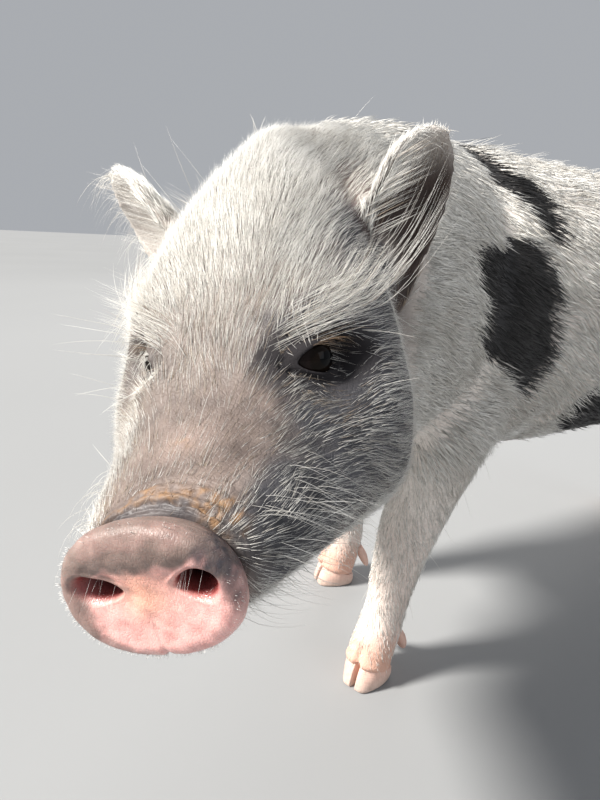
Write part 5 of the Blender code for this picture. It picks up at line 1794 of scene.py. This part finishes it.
# Hairs in the sparse gaps between the face's strands are painted darker, as shade between them
uneven_tone -= 0.22 * face * strands(local)
# The poll's hair is painted lighter, as light falling from above
tone = np.clip(0.69 + 0.24 * poll + 0.16 * ripple(roots, 0.03, 43) + uneven_tone, 0, 1)
# Hair in the left ear's cup is painted darker, as shade inside the cup
in_cup = 1 - step_up(ear_across + 2.0 * (ear_height - 0.50), -0.2, 0.6)
in_cup = root_ear * inside_ear * in_cup * (local[:, 1] > 0)
tone *= 1 - 0.75 * in_cup
lengths = clear_of_floor(roots, ways + bends, lengths)
black_hair = (black + coat_draw.normal(0, 0.10, len(roots)) > 0.5).astype(float)
UNDER_EYE_TAWNY = (((0.076, 0.040, 0.030), (0.010, 0.012, 0.008), 1.6),)
tawny = 0.5 * swollen(folded(local, 1), UNDER_EYE_TAWNY)
tawny += 0.60 * brown * face + 0.30 * near_eye * (local[:, 2] > 0.045)
tawny += 0.85 * in_cup
tawny = (tawny > coat_draw.random(len(roots))).astype(float) * 0.8
flat = unrolled(roots)
on_ear = root_ear > 0.5
flat[on_ear] = unrolled_ears(roots, inside_ear)[on_ear]
MOST_SHORT, MOST_BENT = 48000, 19500
order = np.lexsort((local[:, 0], on_ear))
pieces = []
for kind, most in ((short, MOST_SHORT), (~short, MOST_BENT)):
    mine = order[kind[order]]
    pieces += np.array_split(mine, math.ceil(len(mine) / most))
for k, mine in enumerate(pieces):
    marks = {"black": black_hair[mine], "tawny": tawny[mine], "tone": tone[mine]}
    add_coat(
        f"coat_{k + 1}",
        spikes(
            f"coat_{k + 1}",
            roots[mine] - normals[mine] * 0.0003,
            normals[mine],
            ways[mine],
            bends[mine],
            lengths[mine],
            widths[mine],
            flat[mine],
            marks,
            1 if short[mine[0]] else 2,
        ),
    )

# The long bristles: stiff hairs that stand out of the coat, each rooted in the skin. Whiskers
# on muzzle and chin, lashes, the sweep from brow to ear, ear fringes, the crest along nape
# and back, the switch of the tail, and the short white ones round the snout's rim.
LONG_STEPS = 5
long_hairs = []


def rooted_near(targets):
    """The nearest coat roots to places wanted, and the skin's way out at each."""
    found = []
    for target in targets:
        found.append(int(((roots - target) ** 2).sum(1).argmin()))
    return roots[found], normals[found]


def grow(kind, targets, ways, bends, length, width, spread=0.10, tawny_share=0.1, lift=0.15):
    """Adds long hairs from near the places wanted; ways and bends are given for each or for all."""
    count = len(targets)
    at, out = rooted_near(targets)
    ways = np.broadcast_to(np.asarray(ways, float), (count, 3))
    ways = ways + coat_draw.normal(0, spread, (count, 3))
    ways = ways + out * lift
    ways = ways / np.linalg.norm(ways, axis=1)[:, None]
    bends = np.broadcast_to(np.asarray(bends, float), (count, 3))
    bends = bends + coat_draw.normal(0, spread * 0.6, (count, 3))
    lengths = clear_of_floor(at, ways + bends, coat_draw.uniform(*length, count))
    widths = coat_draw.uniform(*width, count)
    tone = coat_draw.uniform(0.3, 1.0, count) * (0.15 if kind == "lash" else 1)
    tawny = (coat_draw.random(count) < tawny_share) * (1.0 if kind == "lash" else 0.8)
    long_hairs.append((kind, at - out * 0.0004, out, ways, bends, lengths, widths, tone, tawny))


def between(first, last, count, loose=0.0015):
    """Places strewn along a line in the head's frame, as places on the body."""
    share = coat_draw.random(count)[:, None]
    line = np.asarray(first) * (1 - share) + np.asarray(last) * share
    return from_head(line + coat_draw.normal(0, loose, (count, 3)))


# Strewn hairs, each group by kind, sides, first and last place, number, looseness, way, bend,
# length, width, spread, tawny share and lift. Places and ways are the left side's, in the head
BOTH, LEFT, RIGHT = (1, -1), (1,), (-1,)
# Brow over the eye and back, the sweep across the ear's opening, hair up over the ear's front
# rim, and the veil that hides the far eye from in front
BROWS = (
    ("brow", BOTH, (0.078, 0.020, 0.052), (0.088, 0.024, 0.064), 180, 0.0034,
     (0.62, 0.66, 0.30), (0.05, 0.25, 0.02), (0.014, 0.024), (0.00015, 0.00025), 0.13, 0.15, 0.22),
    ("brow", BOTH, (0.088, 0.026, 0.064), (0.100, 0.046, 0.061), 200, 0.0034,
     (0.60, 0.74, 0.12), (0.20, -0.05, 0.10), (0.016, 0.028), (0.00016, 0.00026), 0.13, 0.08, 0.22),
    ("brow", BOTH, (0.072, 0.019, 0.047), (0.082, 0.022, 0.055), 90, 0.0025,
     (0.55, 0.75, -0.15), (0.10, 0.15, -0.15), (0.009, 0.015), (0.00013, 0.00020), 0.14, 0.5, 0.20),
    ("sweep", LEFT, (0.098, 0.044, 0.060), (0.122, 0.054, 0.062), 26, 0.0030,
     (0.70, 0.70, 0.02), (-0.20, 0.10, 0.65), (0.026, 0.042), (0.00018, 0.00028), 0.08, 0.0, 0.12),
    ("sweep", LEFT, (0.120, 0.050, 0.064), (0.140, 0.052, 0.074), 9, 0.0030,
     (0.35, 0.85, 0.20), (-0.15, 0.05, 0.60), (0.018, 0.030), (0.00018, 0.00028), 0.10, 0.0, 0.12),
    ("ear_base", BOTH, (0.146, 0.030, 0.082), (0.158, 0.044, 0.104), 50, 0.0040,
     (-0.10, 0.35, 0.75), (-0.05, 0.30, 0.10), (0.007, 0.012), (0.00018, 0.00028), 0.12, 0.0, 0.05),
    ("veil", RIGHT, (0.070, 0.024, 0.042), (0.084, 0.028, 0.054), 380, 0.0030,
     (0.55, 0.75, -0.15), (0.15, 0.05, -0.25), (0.011, 0.017), (0.00024, 0.00036), 0.10, 0.0, 0.12),
)
WHISKERS = (
    ("whisker", BOTH, (0.022, 0.030, 0.012), (0.060, 0.040, -0.002), 44, 0.0060,
     (0.25, 0.90, -0.18), (0.15, 0.05, -0.30), (0.012, 0.026), (0.00014, 0.00022), 0.18, 0.0, 0.4),
    ("whisker", BOTH, (0.024, 0.010, -0.024), (0.060, 0.026, -0.030), 46, 0.0050,
     (0.35, 0.25, -0.85), (0.30, 0.0, -0.10), (0.012, 0.026), (0.00018, 0.00028), 0.16, 0.0, 0.4),
    ("whisker", BOTH, (0.085, 0.062, 0.000), (0.125, 0.066, -0.020), 12, 0.0080,
     (0.60, 0.75, -0.20), (0.10, 0.0, -0.25), (0.018, 0.028), (0.00014, 0.00020), 0.16, 0.0, 0.4),
)
# Long hair that fills the hollow between the ear and the side of the head
LOBE = (
    ("lobe", RIGHT, (0.128, 0.052, 0.048), (0.150, 0.055, 0.082), 300, 0.0050,
     (0.0, 0.95, 0.20), (0.0, 0.05, -0.45), (0.013, 0.024), (0.00022, 0.00034), 0.14, 0.0, 0.1),
)
LASHES = 14
FRONT_FLUFF = 130
TIP_HAIRS = 60
# Fringe on the ear's outer rim: how many hairs and how long, at the left and at the right
FRINGE = {1: (60, (0.004, 0.008)), -1: (150, (0.013, 0.025))}


def strew(groups, side):
    mirror = np.array((1, side, 1))
    for kind, sides, first, last, count, loose, way, bend, *sizes in groups:
        if side in sides:
            at = between(mirror * first, mirror * last, count, loose)
            grow(kind, at, head_way(mirror * way), head_way(mirror * bend), *sizes)


def side_way(side, back, left, up):
    return head_way((back, side * left, up))


for side in (1, -1):
    strew(BROWS, side)
    # Lashes along the upper lid
    along, rise, outward = eye_axes(side)
    nose_ward = -along if (along @ HEAD_TO_BODY[:, 0]) > 0 else along
    share = np.linspace(-0.75, 1.0, LASHES)
    lid_line = eye_centre(side) + outward * 0.0102 - np.outer(share * 0.0078, nose_ward)
    arched = 0.0062 * np.sqrt(1 - np.clip(np.abs(share), 0, 0.98) ** 2)
    lid_line = lid_line + np.outer(arched, rise)
    lash_way = outward * 0.75 + rise * 0.25 - nose_ward * 0.45
    lash_bend = -rise * 0.55 - nose_ward * 0.2
    grow("lash", lid_line, lash_way, lash_bend, (0.0060, 0.0100), (0.00014, 0.00020),
         0.12, 1.0, 0.0)
    strew(WHISKERS, side)
    # Ear: fluff on the front rim, fringe on the outer rim, hairs at the tip
    on_this = (root_ear > 0.6) & (np.sign(local[:, 1]) == side)
    axis = ear_axis(side)
    mid_ear = (ear_height > 0.30) & (ear_height < 0.80)
    front = coat_draw.choice(np.flatnonzero(on_this & (ear_across > 0.60) & mid_ear), FRONT_FLUFF)
    fluff_way = axis * 0.75 + side_way(side, -0.10, 0.45, 0.05)
    fluff_bend = side_way(side, 0.0, 0.35, 0.10)
    grow("ear_front", roots[front], fluff_way, fluff_bend, (0.008, 0.014), (0.00016, 0.00026),
         0.12, 0.1, 0.15)
    fringe_count, fringe_length = FRINGE[side]
    outer = np.flatnonzero(on_this & (ear_across < -0.45) & (ear_height > 0.15))
    outer = coat_draw.choice(outer, fringe_count)
    fringe_way = axis * 0.35 + side_way(side, 0.15, 0.85, 0.05)
    fringe_bend = side_way(side, 0.05, 0.05, -0.35)
    grow("ear_fringe", roots[outer], fringe_way, fringe_bend, fringe_length, (0.00018, 0.00028),
         0.16, 0.0, 0.1)
    strew(LOBE, side)
    tip = coat_draw.choice(np.flatnonzero(on_this & (ear_height > 0.88)), TIP_HAIRS)
    tip_way, tip_bend = axis + side_way(side, -0.3, 0.25, 0.0), side_way(side, 0.0, 0.20, -0.30)
    grow("ear_tip", roots[tip], tip_way, tip_bend, (0.004, 0.008), (0.00016, 0.00026),
         0.18, 0.0, 0.2)

# Crest: from the poll along nape, withers and back
spine = np.flatnonzero((np.abs(roots[:, 0] - 0.02 * step_up(-roots[:, 1], 0.05, 0.12)) < 0.016)
                       & (roots[:, 2] > 0.30) & (roots[:, 1] > -0.115) & (root_ear < 0.1))
spine = coat_draw.choice(spine, 520)
grow("crest", roots[spine], ways[spine], (0, 0.15, -0.10), (0.020, 0.030), (0.00030, 0.00045),
     0.11, 0.0, 0.06)
# Strays over the head, shoulder, belly and legs
stray = coat_draw.choice(np.flatnonzero((root_ear < 0.1) & (roots[:, 2] > 0.06)), 320)
grow("stray", roots[stray], ways[stray], (0, 0.05, -0.15), (0.016, 0.025), (0.00020, 0.00032),
     0.13, 0.0, 0.18)
# Switch of the tail
end = np.flatnonzero((on_tail(roots) > 0.5) & (roots[:, 2] < 0.235))
end = coat_draw.choice(end, 260)
grow("switch", roots[end], (0.05, 0.12, -1.0), (0.05, -0.10, -0.15), (0.020, 0.038),
     (0.00028, 0.00042), 0.14, 0.0, 0.08)
# A few very long ones on the poll and beside the right cheek
grow("feeler", between((0.128, -0.046, 0.080), (0.150, -0.030, 0.110), 5, 0.004),
     head_way((-0.15, -0.35, 0.90)), (0, 0, -0.05), (0.026, 0.036), (0.00022, 0.00028),
     0.14, 0.0, 0.3)
grow("feeler", between((0.090, -0.062, 0.050), (0.110, -0.066, 0.020), 8, 0.004),
     head_way((-0.10, -0.95, 0.25)), (0, 0, -0.12), (0.024, 0.036), (0.00020, 0.00026),
     0.14, 0.0, 0.3)

# Hairs inside the nostrils, growing out and down
PIT_HAIRS, PIT_HAIR_WIDE = 9, 0.00011
for nostril in NOSTRILS:
    share = coat_draw.uniform(-0.85, 0.85, PIT_HAIRS)
    top = np.sign(coat_draw.uniform(-0.5, 1.5, PIT_HAIRS)) * np.sqrt(1 - share**2)
    hair_at = np.column_stack([
        coat_draw.uniform(0.0015, 0.0060, PIT_HAIRS),
        nostril[0] + share * nostril[2] * 0.86,
        nostril[1] + top * nostril[3] * 0.86,
    ])
    hair_way = coat_draw.normal(0, 0.30, (PIT_HAIRS, 3)) + (-0.8, 0, 0)
    hair_way = unit((hair_way - np.outer(top, (0, 0, 0.7))) @ HEAD_TO_BODY.T)
    long_hairs.append((
        "nostril",
        from_head(hair_at),
        np.tile(head_way((-0.3, 0.1, 0.9)), (PIT_HAIRS, 1)),
        hair_way,
        np.tile(head_way((-0.2, 0, -0.2)), (PIT_HAIRS, 1)),
        coat_draw.uniform(0.003, 0.006, PIT_HAIRS),
        np.full(PIT_HAIRS, PIT_HAIR_WIDE),
        np.ones(PIT_HAIRS),
        np.zeros(PIT_HAIRS),
    ))

columns = [np.concatenate([group[k] for group in long_hairs]) for k in range(1, 9)]
at, out, long_ways, long_bends, lengths, widths, long_tone, long_tawny = columns
long_black = (black_share(at) > 0.5).astype(float)
long_mesh = spikes(
    "long_bristles",
    at,
    out,
    long_ways,
    long_bends,
    lengths,
    widths,
    unrolled(at),
    {"black": long_black, "tawny": long_tawny, "tone": long_tone},
    LONG_STEPS,
)
add_coat("long_bristles", long_mesh)

# Rim bristles of the snout, thickest below and at the sides, with dark stubble on the fleck
count = 900
rim_turn = coat_draw.uniform(-math.pi, math.pi, count)
on_top, at_left = np.sin(rim_turn) > 0.15, np.cos(rim_turn) > 0.6
kept = 1 - 0.88 * on_top - 0.5 * at_left * (np.sin(rim_turn) < 0.15)
rim_turn = rim_turn[coat_draw.random(count) < kept]
count = len(rim_turn)
rim_back = coat_draw.uniform(-0.0004, 0.0040, count)
table = np.array(DISC_STATIONS)[::-1]
rim_width, rim_height, rim_drop = (np.interp(rim_back, table[:, 0], table[:, k]) for k in (1, 2, 3))
rim_across, rim_rise = disc_outline(rim_turn, rim_width, rim_height)
rim_at = from_head(np.column_stack([rim_back, rim_across, rim_rise + rim_drop]) * (1, 0.995, 0.995))
beyond_rim = np.column_stack([rim_back - 0.0025, rim_across * 1.2, rim_rise * 1.2 + rim_drop])
rim_out = from_head(beyond_rim) - rim_at
rim_out /= np.linalg.norm(rim_out, axis=1)[:, None]
rim_long = coat_draw.uniform(0.0012, 0.0020, count) * (1 - 0.40 * (rim_across > 0.016))
rim_ways = rim_out + coat_draw.normal(0, 0.22, (count, 3))
rim_ways /= np.linalg.norm(rim_ways, axis=1)[:, None]
rim_normals = np.cross(rim_out, head_way((1, 0, 0)))
stubble = (np.abs(rim_turn - 0.45) < 0.35).astype(float)
marks = {"black": stubble * 0.8, "tawny": np.zeros(count), "tone": np.ones(count)}
round_rim = 0.02 + 0.45 * (rim_turn + math.pi) / (2 * math.pi)
disc_flat = np.column_stack([round_rim, np.full(count, 0.985)])
rim_mesh = spikes(
    "rim_bristles",
    rim_at,
    rim_normals,
    rim_ways,
    np.zeros_like(rim_ways),
    rim_long,
    rim_long * 0.12,
    disc_flat,
    marks,
)
add_coat("rim_bristles", rim_mesh)
